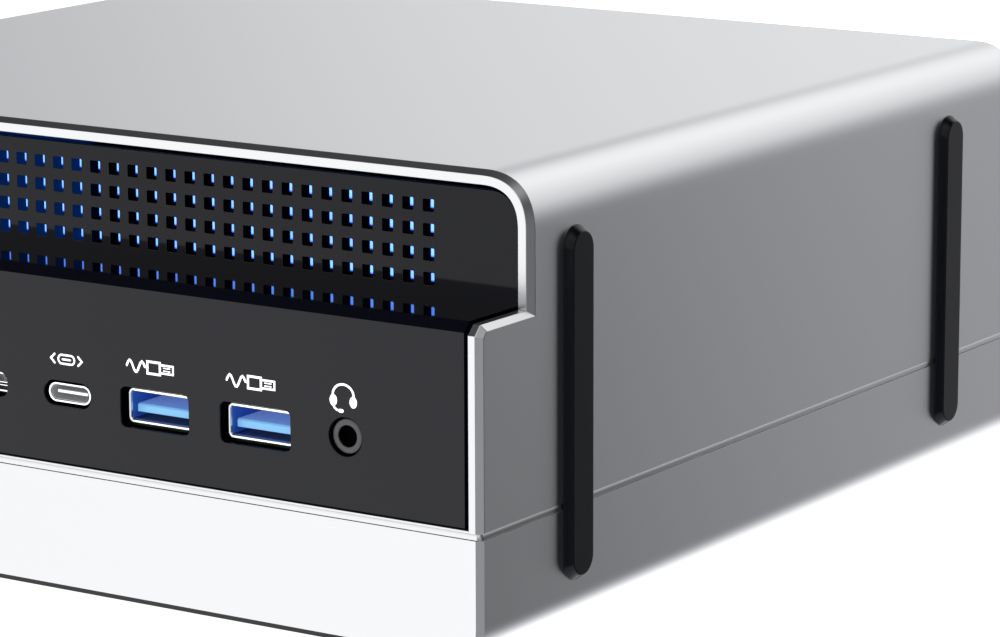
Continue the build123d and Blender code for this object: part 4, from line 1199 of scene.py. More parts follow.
class Ink(Skin):
    """Pad-printed signs: strokes and spots that stand a little proud of the panel."""

    layer: Pair = (PANEL_LOW.y - 0.005, PANEL_LOW.y - 0.03)

    def stroke(self, points: Sequence[Pair], width: float, closed: bool = False) -> None:
        """Add a raised stroke of ink along a line.

        Args:
            points: The line's (x, z) points.
            width: The stroke's width.
            closed: Whether the line returns to its start.
        """
        base, top = self.layer
        spots = [Vector(p) for p in points]
        count = len(spots)
        sides: tuple[list[Vector], list[Vector]] = ([], [])
        for i, spot in enumerate(spots):
            before = spots[i - 1] if closed or i else spot
            after = spots[(i + 1) % count] if closed or i < count - 1 else spot
            run_in = (spot - before).normalized() if (spot - before).length else (after - spot).normalized()
            run_out = (after - spot).normalized() if (after - spot).length else run_in
            across = Vector((-(run_in + run_out).y, (run_in + run_out).x)).normalized()
            reach = width / 2 / max(0.5, across.dot(Vector((-run_in.y, run_in.x))))
            sides[0].append(spot + across * reach)
            sides[1].append(spot - across * reach)
        if closed:
            rings = [self.ring([Vector((p.x, y, p.y)) for p in side]) for side in sides for y in (base, top)]
            for one, other in ((0, 1), (1, 3), (3, 2), (2, 0)):
                self.bridge(rings[one], rings[other])
            return
        caps = []
        for spot, toward in ((spots[-1], spots[-1] - spots[-2]), (spots[0], spots[0] - spots[1])):
            start = atan2(toward.y, toward.x) + pi / 2
            caps.append([spot + Vector((cos(start - pi * k / 8), sin(start - pi * k / 8))) * width / 2
                         for k in range(9)])
        outline = sides[0][1:-1] + caps[0] + sides[1][1:-1][::-1] + caps[1]
        self.loft([[Vector((p.x, y, p.y)) for p in outline] for y in (base, top)], ends=False)
        for ring_y in (base, top):
            self.fill([self.ring([Vector((p.x, ring_y, p.y)) for p in outline])])

    def spot(self, outline: Sequence[Pair]) -> None:
        """Add a filled area of ink."""
        base, top = self.layer
        self.loft([flat_loop(outline, base), flat_loop(outline, top)])


@dataclass
class Front:
    """Grille, lower panel with its sockets' openings, and the printed pictograms."""

    face_half: float = INNER - 0.95
    grille_half: float = INNER - 0.25
    face_top: float = TOP - WALL - FIT_GAP
    corner: float = 4.8
    flange: float = 0.6
    flange_depth: float = 1.7
    shelf_thick: float = 2.0
    panel_thick: float = 2.0
    step_cut: float = 1.6
    hole: Pair = (2.07, 2.02)
    pitch: Pair = (4.0, 4.01)
    columns: int = 40
    rows: int = 4
    field_z: float = 64.77
    wall_start: float = 0.1
    foot: float = 22.67
    headset_sign_z: float = 38.6
    plug_sign_z: float = 41.4
    oval_sign_z: float = 40.65

    def grille_outline(self, inset: float) -> list[Pair]:
        """Outline of the grille: rounded above and straight along the shelf.

        Args:
            inset: How far the outline is drawn in.

        Returns:
            The points as (x, z), once round.
        """
        half, top = self.grille_half - inset, self.face_top - inset
        radius = self.corner - inset
        turns = angles(10)
        right = [(half - radius + radius * cos(t), top - radius + radius * sin(t)) for t in turns]
        return both_sides([(half, SHELF), *right])

    def grille(self) -> None:
        """Glossy grille with square holes."""
        face, back = GRILLE_LOW.y, GRILLE_HIGH.y
        steps = [*edge_round(0.12, 2), (0.0, self.flange_depth), (-self.flange, self.flange_depth),
                 (-self.flange, back - face)]
        field = Field((0.0, self.field_z), self.columns, self.rows, self.pitch,
                      box_outline((0, 0), self.hole, 0.14, 2))
        plate = Plate(self.grille_outline, face, back, steps, [], [field], 0.07, 0.2)
        obj = plate.build("front_grille_plate", GRILLE_ABS)
        dress(obj, GRILLE_ABS, "black_gloss", "front_grille")
        self.paint_wall_shade(obj, HOLE_WALL_PAINTED_SHADE_AND_GLOW, face, True)

    def paint_wall_shade(self, obj: Object, finish: Finish, face: float, flange_too: bool) -> None:
        """Give the walls of the openings a rough, matt finish, near-black as painted shade; the grille's
        finish also has a painted glow.

        Args:
            obj: The moulding.
            finish: The walls' finish.
            face: y of its face.
            flange_too: Whether everything well behind the face gets it too.
        """
        obj.data.materials.append(material_of(finish))
        reach = self.face_half - 1.5
        for polygon in obj.data.polygons:
            middle, normal = polygon.center / MM, polygon.normal
            wall = abs(middle.x) < reach and abs(normal.y) < 0.3 and middle.y > face + self.wall_start
            lower, upper = (SHELF + 0.6, self.face_top - 1) if flange_too else (24.0,
                                                                                SHELF - self.step_cut - 1)
            behind = flange_too and middle.y > face + self.flange_depth - 0.7
            if behind or (wall and lower < middle.z < upper and middle.y < face + self.panel_thick):
                polygon.material_index = 1

    def panel(self, holes: Sequence[Outline]) -> None:
        """Glossy lower panel, its 45 degree cut and the shelf under the grille.

        Args:
            holes: Outlines of the openings for sockets, button and lens.
        """
        face = PANEL_LOW.y
        back = face + self.panel_thick
        ledge = PANEL_HIGH.y
        foot, half = self.foot, self.face_half
        edge = 0.16
        mid_low = SHELF - self.shelf_thick
        profile = [(face, foot + edge), (face, SHELF - self.step_cut), (face + self.step_cut, SHELF),
                   (ledge, SHELF),
                   (ledge, mid_low), (back, mid_low), (back, foot), (face + edge, foot)]
        skin = Skin()
        left = skin.ring([Vector((-half, y, z)) for y, z in profile])
        right = skin.ring([Vector((half, y, z)) for y, z in profile])
        skin.cap(left)
        skin.cap(right)
        for i in range(len(profile)):
            if i not in (0, 5):
                j = (i + 1) % len(profile)
                skin.faces.append((left[i], left[j], right[j], right[i]))
        front = [[left[0], right[0], right[1], left[1]]]
        rear = [[left[6], right[6], right[5], left[5]]]
        for hole in holes:
            pierce(skin, hole, (face, back), 0.18, 0.0, front, rear)
        skin.fill(front)
        skin.fill(rear)
        flange = self.flange
        for side in (-1, 1):
            near, far = sorted((side * (half - 0.1), side * (half + flange)))
            skin.block((near, face + self.flange_depth, foot + 0.3), (far, back - 0.05, mid_low))
            skin.block((near, face + self.flange_depth + 0.6, mid_low + 0.02),
                       (far, GRILLE_HIGH.y, SHELF - 1.2))
        obj = skin.piece("front_panel_moulding", closed=False)
        merge(obj.data, MERGE_GAP)
        dress(obj, BLACK_ABS, "black_gloss", "front_panel")
        self.paint_wall_shade(obj, MATT_ABS_PAINTED_SHADE, face, False)

    def signs(self, at: dict[str, Pair]) -> None:
        """Print a pictogram above each socket.

        Args:
            at: Middles of the openings by name.
        """
        self.headset_sign(at["jack"][0] - 0.3, self.headset_sign_z)
        for place in ("right", "left"):
            self.plug_sign(f"ink_plug_sign_{place}", at[f"usb_{place}"][0] - 0.65, self.plug_sign_z)
        self.oval_sign(at["usb_c"][0], self.oval_sign_z)

    def headset_sign(self, x: float, z: float) -> None:
        """Headset pictogram above the jack.

        Args:
            x: Its middle across.
            z: Its lowest point.
        """
        ink = Ink()
        turns = [radians(t) for t in angles(24, 192, -6)]
        band = [(x + 2.05 * cos(t), z + 2.85 + 1.85 * sin(t)) for t in turns]
        ink.stroke(band, 0.38)
        for side in (-1, 1):
            cup = [(x + side * 1.95 + 0.72 * cos(t), z + 1.95 + 0.95 * sin(t))
                   for t in (2 * pi * i / 24 for i in range(24))]
            ink.spot(cup)
        ink.stroke([(x - 2.1, z + 1.3), (x - 1.75, z + 0.75), (x - 1.3, z + 0.42), (x - 0.75, z + 0.3)], 0.34)
        ink.spot(rounded_box((x - 0.45, z + 0.32), (1.0, 0.62), 0.3, 0.0, 5))
        dress(ink.piece("ink_headset_sign"), INK_PAINTED_GLOW)

    def plug_sign(self, name: str, x: float, z: float) -> None:
        """Pictogram of a plug on its lead, for a flat data socket.

        Args:
            name: The piece's name.
            x: Its middle across.
            z: Its middle height.
        """
        ink = Ink()
        wave = [(x - 4.9 + 0.29 * i, z - 0.1 + 0.95 * sin(pi * i / 4.4)) for i in range(14)]
        ink.stroke([*wave, (x - 0.6, z)], 0.4)
        body = [(x - 0.6, z + 1.0), (x + 2.0, z + 1.0), (x + 2.0, z - 1.0), (x - 0.6, z - 1.0)]
        ink.stroke(body, 0.4, closed=True)
        mouth = [(x + 2.0, z + 0.68), (x + 4.7, z + 0.68), (x + 4.7, z - 0.68), (x + 2.0, z - 0.68)]
        ink.stroke(mouth, 0.34, closed=True)
        for up in (-0.24, 0.24):
            ink.spot(rounded_box((x + 3.4, z + up), (1.5, 0.2), 0.08, 0.0, 2))
        dress(ink.piece(name), INK_PAINTED_GLOW)

    def oval_sign(self, x: float, z: float) -> None:
        """Pictogram of an oval plug with an arrow each way, for the small data socket.

        Args:
            x: Its middle across.
            z: Its middle height.
        """
        ink = Ink()
        ink.stroke(rounded_box((x, z), (3.4, 1.5), 0.74, 0.0, 8), 0.34, closed=True)
        ink.stroke([(x - 0.8, z), (x + 0.8, z)], 0.34)
        for side in (-1, 1):
            ink.stroke([(x + side * 2.5, z + 0.75), (x + side * 3.3, z), (x + side * 2.5, z - 0.75)], 0.36)
        dress(ink.piece("ink_oval_sign"), INK_PAINTED_GLOW)


@dataclass
class Shell:
    """Drawn metal shell of a socket, with its mouth to the front."""

    centre: Pair
    size: Pair
    corner: float
    mouth: float

    def outline(self, inset: float) -> list[Pair]:
        """Outline of the shell, drawn in by inset."""
        return rounded_box(self.centre, self.size, self.corner, inset, 7)

    def tube(self, end: float, wall: float) -> Skin:
        """Skin the shell, with a rolled mouth.

        Args:
            end: y of its closed end.
            wall: Thickness of its sheet.

        Returns:
            The skin.
        """
        mouth, soft = self.mouth, 0.06
        return swept(self.outline, [(0.0, end), (0.0, mouth + soft), (soft, mouth), (wall - soft, mouth),
                                    (wall, mouth + soft), (wall, end - wall)])

    def lip(self, name: str, wall: float) -> None:
        """Make the bright cut edge round its mouth; its brightness is a painted highlight.

        Args:
            name: The piece's name.
            wall: The edge's width.
        """
        proud, foot, soft = 0.03, 0.12, 0.03
        face = self.mouth - proud
        rows = [(0.01, self.mouth + foot), (0.01, face + soft), (soft, face), (wall - soft, face),
                (wall, face + soft), (wall, self.mouth + foot)]
        skin = Skin()
        rings = skin.loft([flat_loop(self.outline(inset), y) for inset, y in rows], ends=False)
        skin.bridge(rings[-1], rings[0])
        dress(skin.piece(name), CUT_EDGE_PAINTED_HIGHLIGHT, "bright_steel")


@dataclass
class Sockets:
    """The connectors, button and lens in the lower front panel."""

    usb_gap: Pair = (14.05, 6.8)
    usb_shift: float = -0.35
    usb_drop: float = -0.1
    usb_corner: float = 0.9
    oval_corner: float = 1.6
    oval_height: float = 3.26
    usb_c_gap: Pair = (9.95, 4.3)
    card_gap: Pair = (26.4, 4.2)
    jack_gap: float = 3.2
    button_radius: float = 6.5
    button_gap: float = 0.3

    def places(self) -> dict[str, Pair]:
        """Middles of the openings by name.

        Returns:
            Each middle as (x, z).
        """
        at = {name: front_view(node)[0] for name, node in (
            ("usb_right", "usb_a_shell_right"), ("usb_left", "usb_a_shell_left"), ("button", "power_button"),
            ("lens", "status_lens"))}
        for name in ("usb_right", "usb_left"):
            at[name] = (at[name][0] + self.usb_shift, at[name][1] + self.usb_drop)
        for name, node, shift, drop in (("usb_c", "usb_c_shell", 0.0, 1.55),
                                        ("card", "card_reader", 0.0, 1.7),
                                        ("jack", "headset_jack", -0.3, 3.6)):
            at[name] = (front_view(node)[0][0] + shift, span_mm(node)[1].z - drop)
        return at

    def openings(self) -> list[Outline]:
        """Outlines of the openings in the panel, by how far each is moved inwards.

        Returns:
            One outline for each opening.
        """
        at = self.places()
        button_r = self.button_radius + self.button_gap
        boxes = [("usb_right", self.usb_gap, 1.0, 5), ("usb_left", self.usb_gap, 1.0, 5),
                 ("usb_c", self.usb_c_gap, 2.2, 10), ("card", self.card_gap, 1.6, 8)]
        rounds = [("jack", self.jack_gap, 56), ("button", button_r, 72), ("lens", 0.8, 28)]
        holes = [box_outline(at[name], size, radius, steps) for name, size, radius, steps in boxes]
        return holes + [lambda inset, n=name, r=radius, s=steps: circle(at[n], r - inset, s)
                        for name, radius, steps in rounds]

    def usb_a(self, place: str) -> None:
        """Flat data socket: nickel shell, blue liner with a painted glow, a tongue painted paler as if lit,
        and a dark plate under it as painted shade.

        Args:
            place: "right" or "left".
        """
        low, high = span_mm(f"usb_a_shell_{place}")
        centre = self.places()[f"usb_{place}"]
        size = (high.x - low.x, high.z - low.z)
        shell = Shell(centre, size, self.usb_corner, low.y)
        dress(shell.tube(high.y, 0.4).piece(f"usb_a_housing_{place}"), NICKEL, "bright_steel",
              f"usb_a_shell_{place}")
        shell.lip(f"usb_a_edge_{place}", 0.29)
        # A dull dark blue plate on the socket's floor: painted shade under the tongue.
        shade_plate = Skin()
        shade_plate.block((centre[0] - size[0] / 2 + 0.5, low.y + 0.45, centre[1] - size[1] / 2 + 0.5),
                  (centre[0] + size[0] / 2 - 0.5, high.y - 3.5, centre[1] - size[1] / 2 + 0.62))
        dress(shade_plate.piece(f"usb_a_bed_{place}"), PAINTED_SHADE_BLUE_PBT, "blue_plastic")
        mouth = low.y + 0.5
        floor = centre[1] - size[1] / 2 + 0.34
        # Blue liner, with a painted glow that lightens the socket's shaded inside.
        rows = [(0.41, high.y - 0.6), (0.41, mouth), (0.5, mouth), (0.5, high.y - 3.4)]
        skin = swept(box_outline(centre, size, self.usb_corner, 5), rows)
        dress(skin.piece(f"usb_a_insert_{place}"), BLUE_PBT_PAINTED_GLOW, "blue_plastic", f"usb_a_tongue_{place}")
        # The tongue, painted paler as if lit from in front, with a painted glow.
        skin = Skin()
        tongue_low, tongue_high, half = floor + 1.15, floor + 2.62, 5.75
        front = low.y + 1.25
        nose = 0.28
        profile = [(high.y - 3.3, tongue_low), (front + nose, tongue_low), (front, tongue_low + 0.1),
                   (front, tongue_high - nose), (front + nose, tongue_high), (high.y - 3.3, tongue_high)]
        left = [Vector((centre[0] - half, y, z)) for y, z in profile]
        skin.loft([left, [Vector((centre[0] + half, p.y, p.z)) for p in left]])
        dress(skin.piece(f"usb_a_blade_{place}", 0.05), PAINTED_LIT_BLUE_PBT, "blue_plastic")
        pins = Skin()
        for i in range(4):
            x = centre[0] - 3.5 + i * 7.0 / 3
            pins.block((x - 0.5, front + 0.9, tongue_low - 0.05), (x + 0.5, front + 7, tongue_low + 0.03))
        dress(pins.piece(f"usb_a_contacts_{place}"), BRASS, "brass_post")

    def usb_c(self) -> None:
        """Oval socket with its nickel shell and bright tongue."""
        low, high = span_mm("usb_c_shell")
        centre, size = self.places()["usb_c"], (high.x - low.x, self.oval_height)
        mouth = low.y - 1.0
        shell = Shell(centre, size, self.oval_corner, mouth)
        skin = shell.tube(high.y, 0.36)
        for x in (centre[0] - 2.5, centre[0] + 2.5):
            skin.block((x - 0.5, low.y + 1, low.z), (x + 0.5, low.y + 6, centre[1] - 1.5))
        dress(skin.piece("usb_c_housing"), NICKEL, "bright_steel", "usb_c_shell")
        shell.lip("usb_c_edge", 0.22)
        # Inner sleeve: greyer nickel with a faint painted glow that lightens the socket's dark inside.
        rows = [(0.37, high.y - 0.6), (0.37, mouth + 0.4), (0.43, mouth + 0.4), (0.43, high.y - 2.4)]
        sleeve = swept(shell.outline, rows)
        dress(sleeve.piece("usb_c_sleeve"), SLEEVE_PAINTED_GLOW, "bright_steel")
        rows = [(0.12, mouth + 0.85), (0.0, mouth + 1.0), (0.0, high.y - 0.4)]
        tongue = swept(box_outline(centre, (6.7, 0.7), 0.3, 3), rows)
        rows = [(0.1, high.y - 2.1), (0.0, high.y - 2.0), (0.0, high.y - 0.4)]
        tongue.loft([flat_loop(rounded_box(centre, (6.8, 2.4), 0.5, inset, 3), y) for inset, y in rows])
        dress(tongue.piece("usb_c_blade"), NICKEL, "bright_steel", "usb_c_tongue")

    def jack(self) -> None:
        """Round headset jack: a grey ring round a bore that a near-black cup darkens as painted shade, on its
        moulded body.
        """
        centre = self.places()["jack"]
        low, high = span_mm("headset_jack")
        middle, size = front_view("headset_jack")
        ring, bore, face = 2.875, 1.8, low.y
        profile = [(ring, high.y), (ring, face + 0.2), (ring - 0.06, face + 0.06), (ring - 0.2, face),
                   (bore + 0.16, face),
                   (bore + 0.05, face + 0.05), (bore, face + 0.18), (bore, high.y - 0.5)]
        skin = turned(centre, profile, 56)
        dress(skin.piece("headset_jack_ring"), GREY_LCP, "connector_black")
        # A near-black cup inside the bore: painted shade in its depth.
        inner = bore - 0.006
        profile = [(inner, face + 1.4), (inner, face + 0.2), (inner - 0.04, face + 0.18),
                   (inner - 0.04, face + 1.3), (0.05, face + 1.3)]
        dress(turned(centre, profile, 56).piece("headset_jack_bore"), MATT_ABS_PAINTED_SHADE, "connector_black")
        front = span_mm("usb_a_shell_right")[0].y + 0.6
        body = swept(box_outline(middle, size, 0.6, 4),
                     [(0.2, front), (0.0, front + 0.2), (0.0, high.y)])
        dress(body.piece("headset_jack_body"), BLACK_LCP, "connector_black", "headset_jack")

    def card(self) -> None:
        """Card slot: a folded steel cage with a sprung guide inside."""
        low, high = span_mm("card_reader")
        centre = self.places()["card"]
        skin = Shell(centre, (high.x - low.x, 3.4), 0.6, low.y).tube(high.y, 0.4)
        for x in (low.x + 1.9, high.x - 1.9):
            skin.block((x - 1, low.y + 1, low.z), (x + 1, high.y - 1, centre[1] - 1.5))
        for up in (-0.75, -0.25):
            skin.block((low.x + 1.2, low.y + 0.5, centre[1] + up),
                       (high.x - 1.2, high.y - 1.0, centre[1] + up + 0.16))
        dress(skin.piece("card_slot_cage"), NICKEL, "bright_steel", "card_reader")

    def button(self) -> None:
        """Round power button with a dished face, a lit lens beside it and its ink sign."""
        low, high = span_mm("power_button")
        centre = self.places()["button"]
        cap, flange = self.button_radius, (high.x - low.x) / 2
        face = low.y
        profile = [(0.4, high.y), (2.0, high.y), (2.0, face + 3.4), (flange, face + 3.4),
                   (flange, face + 2.62), (cap, face + 2.6),
                   (cap, face + 0.35), (cap - 0.1, face + 0.12), (cap - 0.32, face), (cap - 0.6, face),
                   (cap - 1.0, face + 0.06), (cap - 2.5, face + 0.2), (cap - 4.5, face + 0.28),
                   (0.3, face + 0.3)]
        dress(turned(centre, profile, 72).piece("power_button_cap"), BUTTON, "button_plastic", "power_button",
              body="power_key")
        ink = Ink()
        ring = [radians(t) for t in angles(28, 290, 125)]
        depth = face + 0.3 - PANEL_LOW.y
        ink.stroke([(centre[0] + 1.5 * cos(t), centre[1] + 1.5 * sin(t)) for t in ring], 0.36)
        ink.stroke([(centre[0], centre[1] + 0.5), (centre[0], centre[1] + 1.9)], 0.36)
        for point in ink.points:
            point.y += depth - 0.02
        dress(ink.piece("ink_power_sign"), INK_PAINTED_GLOW, body="power_key")
        low, high = span_mm("status_lens")
        lens = self.places()["lens"]
        profile = [(0.75, high.y - 0.9), (0.75, low.y + 0.2), (0.6, low.y + 0.05), (0.3, low.y),
                   (0.05, low.y)]
        skin = turned(lens, [(1.6, high.y), (1.6, high.y - 0.9), *profile], 28)
        dress(skin.piece("status_lens_pin"), LENS, "clear_lens", "status_lens")

    def build(self) -> None:
        """Make every connector, the button and the lens."""
        for place in ("right", "left"):
            self.usb_a(place)
        self.usb_c()
        self.jack()
        self.card()
        self.button()


@dataclass
class Rear:
    """Rear panel with its vents and openings, and the screws of the rear panel and bottom plate."""

    corner: float = 4.9
    foot_cut: float = 2.5
    gap: float = 0.3
    oval_height: float = 3.26
    video_box: Pair = (15.2, 6.2)
    stack_width: float = 14.0
    jack_hole: float = 3.5
    jack_height: float = 4.0
    screw_hole: float = 3.15
    contact_pitch: float = 1.02
    vent: Pair = (2.2, 7.0)
    vent_pitch: Pair = (4.0, 8.02)
    vent_columns: int = 13
    vent_rows: int = 3
    vent_middle: Pair = (56.0, 50.0)
    screw_x: Pair = (88.0, 86.0)
    screw_z: Pair = (27.0, 69.0)
    countersink: float = 0.8
    head_radius: float = HEAD_RADIUS
    head_height: float = 0.98

    def outline(self, inset: float) -> list[Pair]:
        """Outline of the panel: rounded above, cut at 45 degrees below.

        Args:
            inset: How far the outline is drawn in.

        Returns:
            The points as (x, z), once round.
        """
        half, top, foot = REAR_HIGH.x - inset, REAR_HIGH.z - inset, REAR_LOW.z + inset
        radius, cut = self.corner - inset, self.foot_cut - inset * 0.6
        turns = angles(10)
        right = [(half - cut, foot), (half, foot + cut)]
        right += [(half - radius + radius * cos(t), top - radius + radius * sin(t)) for t in turns]
        return both_sides(right)

    def openings(self) -> list[Outline]:
        """Outlines of the openings, each a little larger than the connector in it.

        Returns:
            One outline for each opening.
        """
        boxes = []
        for node, radius in (("dc_inlet", 0.6), ("lan_jack", 0.6), ("rear_usb_c", 1.9)):
            low, high = span_mm(node)
            foot = high.z - self.oval_height if node == "rear_usb_c" else low.z
            boxes.append(((low.x, high.x), (foot, high.z), radius))
        for node, width in (("video_ports", self.video_box[0]), ("rear_usb_stacks", self.stack_width)):
            low, high = span_mm(node)
            boxes += [((x, x + width), (low.z, high.z), 0.6) for x in (low.x, high.x - width)]
        holes = [box_outline((sum(across) / 2, sum(up) / 2),
                             (across[1] - across[0] + 2 * self.gap, up[1] - up[0] + 2 * self.gap), radius, 5)
                 for across, up, radius in boxes]
        jack = (front_view("rear_audio_jack")[0][0], span_mm("rear_audio_jack")[0].z + self.jack_height)
        rounds = [(jack, self.jack_hole, 48), *((spot, self.screw_hole, 40) for spot in self.screws())]
        return holes + [lambda inset, at=at, r=r, steps=steps: circle(at, r - inset, steps)
                        for at, r, steps in rounds]

    def screws(self) -> list[Pair]:
        """Middles of the panel's screws, as (x, z)."""
        return [(side * x, z) for x, z in zip(self.screw_x, self.screw_z) for side in (-1, 1)]

    def panel(self) -> None:
        """Make the panel, drawn face to the front and then turned to the back."""
        face, back = -REAR_HIGH.y, -REAR_LOW.y
        fields = [Field((side * self.vent_middle[0], self.vent_middle[1]), self.vent_columns, self.vent_rows,
                        self.vent_pitch, box_outline((0, 0), self.vent, 1.1, 5)) for side in (-1, 1)]
        plate = Plate(self.outline, face, back, [*edge_round(0.25, 3), (0.0, back - face)], self.openings(),
                      fields, 0.2)
        obj = plate.build("rear_cover", SATIN_ABS)
        face_back(obj)
        dress(obj, SATIN_ABS, "rear_plastic", "rear_panel")

    def screw(self, head_mm: float, length: float) -> Object:
        """Make one machine screw whose head faces the front, with a six-point recess.

        Args:
            head_mm: Height of its head.
            length: Length below the head.

        Returns:
            The screw, its seat at the origin.
        """
        radius, shank, rim, lobe, steps = self.head_radius, 1.5, 1.25, 0.22, 48
        turns = angles(steps, 2 * pi)[:-1]
        star = [rim + lobe * cos(6 * t) for t in turns]
        profile = [(length, shank * 0.8), (length - 0.4, shank), (0.0, shank), (0.0, radius),
                   (0.35 - head_mm, radius), (0.1 - head_mm, radius - 0.12), (-head_mm, radius - 0.4),
                   (-head_mm, 1.62)]
        loops = [flat_loop(circle((0, 0), r, steps), y) for y, r in profile]
        for y, share in ((0.08 - head_mm, 1.0), (-0.35 * head_mm, 0.92)):
            loops.append(flat_loop([(share * r * cos(t), share * r * sin(t)) for r, t in zip(star, turns)],
                                   y))
        skin = Skin()
        skin.loft(loops)
        return skin.piece("screw_pattern")

    def screw_set(self, name: str, node: str, places: Sequence[Vector], turn: Callable[[Object], None],
                  part_size: Pair) -> None:
        """Set a screw on each of several spots.

        Args:
            name: The piece's name.
            node: The CAD node that it stands for.
            places: Seats of the heads, as drawn with the heads facing the front.
            turn: Turns the drawn set into its place.
            part_size: Height of the head and length below it.
        """
        mesh = bpy.data.meshes.new(name)
        mesh.from_pydata([p * MM for p in places], [], [])
        obj = bpy.data.objects.new(name, mesh)
        bpy.context.scene.collection.objects.link(obj)
        PARTS_ON_SPOTS.run(obj, self.screw(*part_size), BLACK_OXIDE, {})
        turn(obj)
        shade(obj.data)
        dress(obj, BLACK_OXIDE, "black_screw", node)

    def video_mouth(self, x: float, z: float) -> Outline:
        """Mouth of a video socket: a box with its two lower corners cut."""
        def outline(inset: float) -> list[Pair]:
            """Outline drawn in by inset."""
            half, cut = 7.1 - inset, 5.4 - inset * 0.4
            right = [(x + cut, z + 0.9 + inset), (x + half, z + 2.6 + inset * 0.4),
                     (x + half, z + 5.6 - inset)]
            return both_sides(right, x)
        return outline

    def network_mouth(self, x: float, z: float) -> Outline:
        """Mouth of a network socket: a box with a notch below for the plug's latch."""
        def outline(inset: float) -> list[Pair]:
            """Outline drawn in by inset."""
            half, notch, foot, top = 5.95 - inset, 3.0 - inset, z + 3 + inset, z + 10 - inset
            right = [(x + notch, z + 1.2 + inset), (x + notch, foot), (x + half, foot), (x + half, top)]
            return both_sides(right, x)
        return outline

    def lining(self, name: str, mouth: Outline, front: float, insets: Pair, depths: Pair) -> None:
        """Make the dark cup inside a socket.

        Args:
            name: The piece's name.
            mouth: Outline of the socket's mouth.
            front: y of the cup's rim, as drawn with its face to the front.
            insets: How far its outside and its inside are drawn in from the mouth.
            depths: Depth of its outside and of its inside.
        """
        rows = [(insets[0], front + depths[0]), (insets[0], front), (insets[1], front),
                (insets[1], front + depths[1])]
        cup = swept(mouth, rows).piece(name)
        face_back(cup)
        dress(cup, BLACK_LCP)

    def connector(self, name: str, node: str, outline: Outline, mouth: Outline, *nodes: str) -> None:
        """Make a folded shell with a dark moulded inside.

        Args:
            name: The shell's name.
            node: The CAD node that gives its depth.
            outline: Its outline.
            mouth: Outline of its mouth.
            nodes: The CAD nodes that it replaces.
        """
        low, high = span_mm(node)
        face, back, soft = -high.y, -low.y, 0.12
        shell = Plate(outline, face, back, [*edge_round(soft, 2), (0.0, back - face)], [mouth], [], soft)
        obj = shell.build(name, NICKEL)
        face_back(obj)
        dress(obj, NICKEL, "bright_steel", *nodes)
        self.lining(f"{name}_inside", mouth, face + 0.35, (0.01, 0.25), (8.65, 7.65))

    def small_socket(self) -> None:
        """Give the small oval socket a dark inside and a tongue."""
        low, high = span_mm("rear_usb_c")
        middle, face = ((low.x + high.x) / 2, high.z - self.oval_height / 2), -high.y
        mouth = box_outline(middle, (8.3, 2.5), 1.2, 6)
        self.lining("rear_oval_inside", mouth, face + 0.25, (0.0, 0.15), (4.75, 4.25))
        tongue = Skin()
        tongue.block((middle[0] - 3.3, high.y - 5.0, middle[1] - 0.35),
                     (middle[0] + 3.3, high.y - 0.7, middle[1] + 0.35))
        dress(tongue.piece("rear_oval_tongue", 0.1), GREY_LCP)

    def connectors(self) -> None:
        """Make the two video sockets and the network socket."""
        low, high = span_mm("video_ports")
        wide, tall = self.video_box
        for number, x in enumerate((low.x + wide / 2, high.x - wide / 2), 1):
            nodes = ("video_ports",) if number == 1 else ()
            self.connector(f"video_shell_{number}", "video_ports",
                           box_outline((x, low.z + tall / 2), self.video_box, 0.5, 4),
                           self.video_mouth(x, low.z), *nodes)
            blade = Skin()
            blade.block((x - 5.6, high.y - 6.0, low.z + 3.0), (x + 5.6, high.y - 1.2, low.z + 4.0))
            dress(blade.piece(f"video_tongue_{number}", 0.12), BLACK_LCP)
        low, high = span_mm("lan_jack")
        x, y = (low.x + high.x) / 2, high.y
        self.connector("network_shell", "lan_jack", box_outline(*front_view("lan_jack"), 0.4, 4),
                       self.network_mouth(x, low.z), "lan_jack")
        self.small_socket()
        wires, half, thin = Skin(), 0.2, 0.12
        corners = ((-half, -thin), (half, -thin), (half, thin), (-half, thin))
        line = [(y - 1.2, low.z + 9.6), (y - 2.0, low.z + 9.0), (y - 5.5, low.z + 7.2)]
        for number in range(8):
            at = x + (number - 3.5) * self.contact_pitch
            wires.loft([[Vector((at + a, along, up + b)) for a, b in corners] for along, up in line])
        dress(wires.piece("network_contacts", 0.04), BRASS)

    def build(self) -> None:
        """Make the panel, its sockets and both sets of screws."""
        self.panel()
        self.connectors()
        seat = self.countersink - REAR_HIGH.y
        places = [Vector((x, seat, z)) for x, z in self.screws()]
        self.screw_set("rear_cover_screws", "rear_screws", places, face_back, (self.head_height, 5.0))
        low, high = span_mm("plate_screws")
        places = [Vector((x, low.z + 1.0, y)) for x, y in upright_screws("plate_screws")]
        self.screw_set("bottom_cover_screws", "plate_screws", places, lay_down,
                       (self.head_height, high.z - low.z - 1.1))


